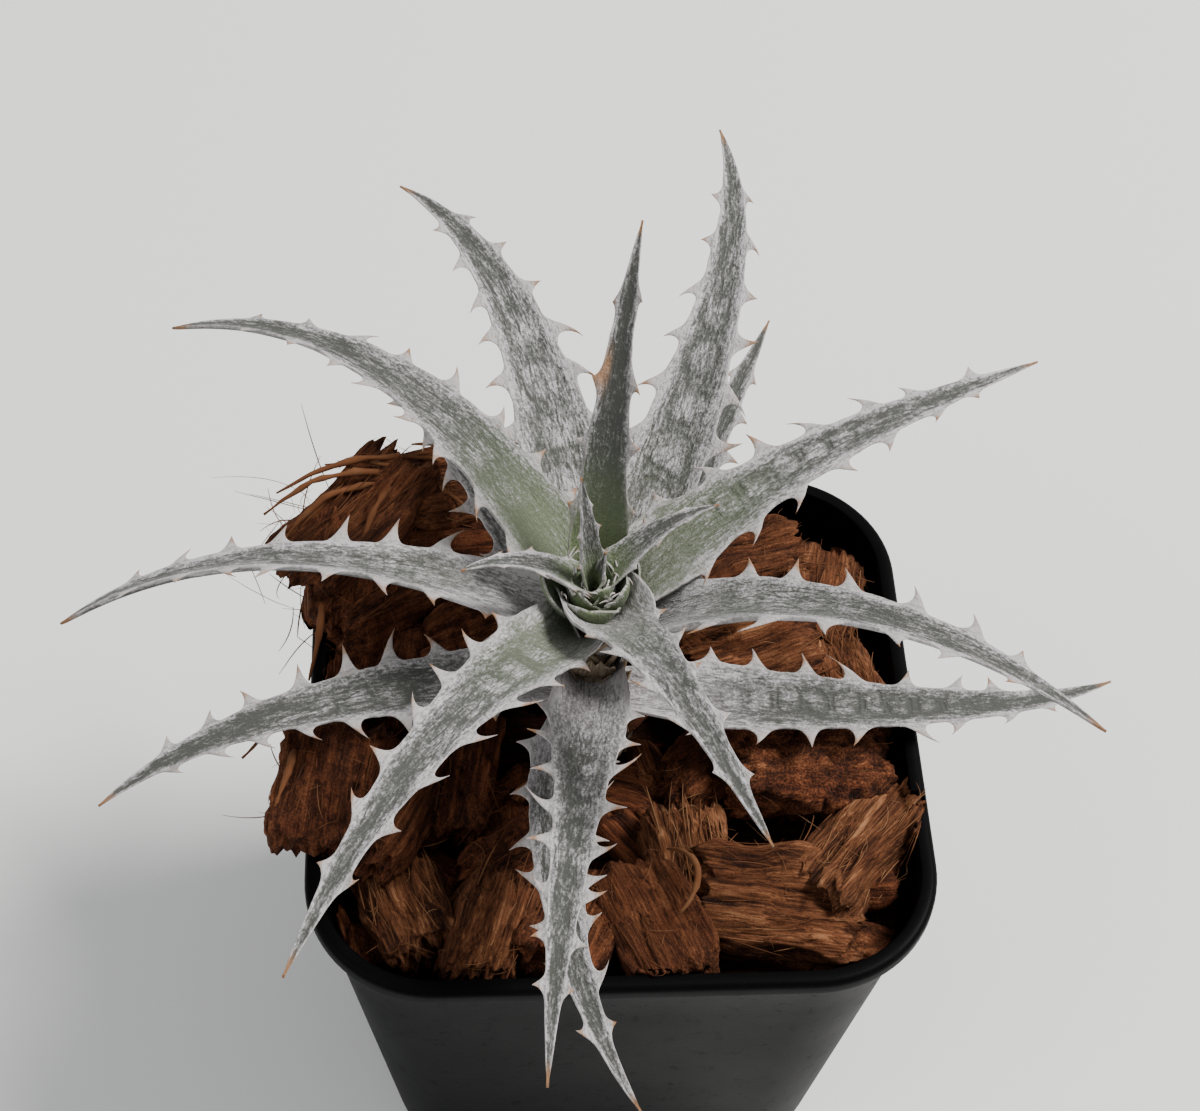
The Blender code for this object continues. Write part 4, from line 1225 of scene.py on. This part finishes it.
def cut_drains(pot):
    """The drainage holes in the floor, and the grooves through the foot."""
    tool = bmesh.new()
    for quarter in range(4):
        diagonal = math.radians(45 + 90 * quarter)
        side = math.radians(90 * quarter)
        for turn, reach in ((diagonal, DRAIN_OFFSET * 1.3), (side, DRAIN_OFFSET)):
            place = Matrix.Translation((*polar(reach, turn), 0))
            bmesh.ops.create_cone(
                tool, cap_ends=True, segments=32, radius1=DRAIN_RADIUS, radius2=DRAIN_RADIUS,
                depth=12 * MM, matrix=place,
            )
    for along_x, end in itertools.product((True, False), (-1, 1)):
        size = (GROOVE_RUN, GROOVE_WIDTH) if along_x else (GROOVE_WIDTH, GROOVE_RUN)
        middle = (end * BASE_HALF, 0) if along_x else (0, end * BASE_HALF)
        place = Matrix.Translation((*middle, 0)) @ Matrix.Diagonal((*size, 2 * GROOVE_DEPTH, 1))
        bmesh.ops.create_cube(tool, size=1, matrix=place)
    mesh = bpy.data.meshes.new("drains")
    tool.to_mesh(mesh)
    tool.free()
    drains = add_object("drains", mesh)
    change = pot.modifiers.new("drains", "BOOLEAN")
    change.operation = "DIFFERENCE"
    change.object = drains
    change.solver = "MANIFOLD"
    graph = bpy.context.evaluated_depsgraph_get()
    made = bpy.data.meshes.new_from_object(pot.evaluated_get(graph))
    pot.modifiers.clear()
    pot.data = made
    made.shade_smooth()
    made.set_sharp_from_angle(angle=math.radians(38))
    bpy.data.objects.remove(drains)


# ---- Everything in its place ----
def settle(piece, slot, *nodes):
    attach(piece, "root")
    if nodes:
        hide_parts(*nodes)


leaf_skin = leaf_material("leaf_scurf")
for leaf, look in LEAVES:
    points, faces, values = leaf_surface(leaf, look)
    name = leaf.name.replace("leaf_", "blade_")
    blade = mesh_piece(name, points, faces, leaf_skin, values)
    settle(blade, "leaf", leaf.name)

heart = Gather(*LEAF_KEYS)
for leaf, scurf in HEART_LEAVES:
    look = Look(1.0, scurf, 6.0, 0.0, 2.0, 3.0, 0.0, 0.0, 1.2)
    points, faces, values = leaf_surface(leaf, look, 16, 0.35, 2.6 * MM)
    heart.add(points, faces, **values)
draw = random.Random(97)
for number in range(CUPS):
    leaf = cup(number)
    look = Look(1.0, 0.54, 6.0, 0.0, 2.0, 3.0, 0.0, 0.0, 1.0)
    girth = (leaf.root + 1.1) * MM
    points, faces, values = leaf_surface(leaf, look, 12, 1.3, girth)
    heart.add(points, faces, **values)
    add_rim_spines(heart, draw, leaf, girth / MM)
settle(heart.piece("heart_leaves", leaf_skin), "young_leaf", "heart")

husk_skin = husk_material("coconut_husk")
fibre_skin = fibre_material("husk_fibre")
draw = random.Random(41)
settle(make_chips(husk_skin), "husk", "husk_chips")
settle(make_bits(husk_skin, draw), "husk")
settle(make_fibres(fibre_skin, draw), "husk")
settle(make_stem(stem_material("stem_bark")), "stem", "stem")
settle(make_pot(pot_material("pot_plastic")), "pot", "pot")


# ---- Floor, light and camera ----
floor_graph = Graph("studio_floor")
floor_graph.finish((0.84, 0.84, 0.83), 0.75, None, Specular_IOR_Level=0.2)
bpy.ops.mesh.primitive_plane_add(size=6, location=(0, 0, 0))
floor = bpy.context.object
floor.name = "studio_floor"
floor.data.materials.append(floor_graph.material)


def soft_light(name, place, target, size, watts, colour=(1, 1, 1)):
    light = bpy.data.lights.new(name, "AREA")
    light.shape = "DISK"
    light.size = size
    light.energy = watts
    light.color = colour
    lamp = add_object(name, light)
    lamp.location = place
    lamp.rotation_euler = (Vector(target) - Vector(place)).to_track_quat("-Z", "Y").to_euler()


soft_light("key", (1.15, 0.25, 1.75), (0, 0, 0.1), 0.75, 70.0, (1.0, 0.985, 0.965))
soft_light("fill", (-1.3, -0.6, 1.3), (0, 0, 0.1), 1.2, 9.0, (0.98, 0.99, 1.0))
world = bpy.data.worlds.new("studio")
bpy.context.scene.world = world
world.use_nodes = True
world.node_tree.nodes["Background"].inputs["Color"].default_value = (0.965, 0.975, 0.99, 1)
world.node_tree.nodes["Background"].inputs["Strength"].default_value = 0.50

# The camera looks down at the plant from the front; the pot is turned a little to it
LOOK_DOWN = math.radians(53.01)
LOOK_ROLL = math.radians(3.0)
LOOK_TURN = math.radians(-5.0)
LOOK_DISTANCE = 415.27 * MM
LOOK_AT = Vector((-3.64 * MM, 32.70 * MM, 0))
back = Vector((0, -math.cos(LOOK_DOWN), math.sin(LOOK_DOWN)))
sideways = Vector((1, 0, 0))
upward = back.cross(sideways)
sideways, upward = (
    math.cos(LOOK_ROLL) * sideways + math.sin(LOOK_ROLL) * upward,
    math.cos(LOOK_ROLL) * upward - math.sin(LOOK_ROLL) * sideways,
)
turned = Matrix.Rotation(LOOK_TURN, 3, "Z")
axes = [turned @ axis for axis in (sideways, upward, back)]
place = turned @ (LOOK_AT + back * LOOK_DISTANCE) + Vector((0, 0, POT_HEIGHT))
camera_data = bpy.data.cameras.new("camera")
camera_data.sensor_fit = "HORIZONTAL"
camera_data.sensor_width = 36
camera_data.lens = 72
camera_data.clip_start = 0.01
camera = add_object("camera", camera_data)
camera.matrix_world = Matrix.Translation(place) @ Matrix(axes).transposed().to_4x4()
bpy.context.scene.camera = camera
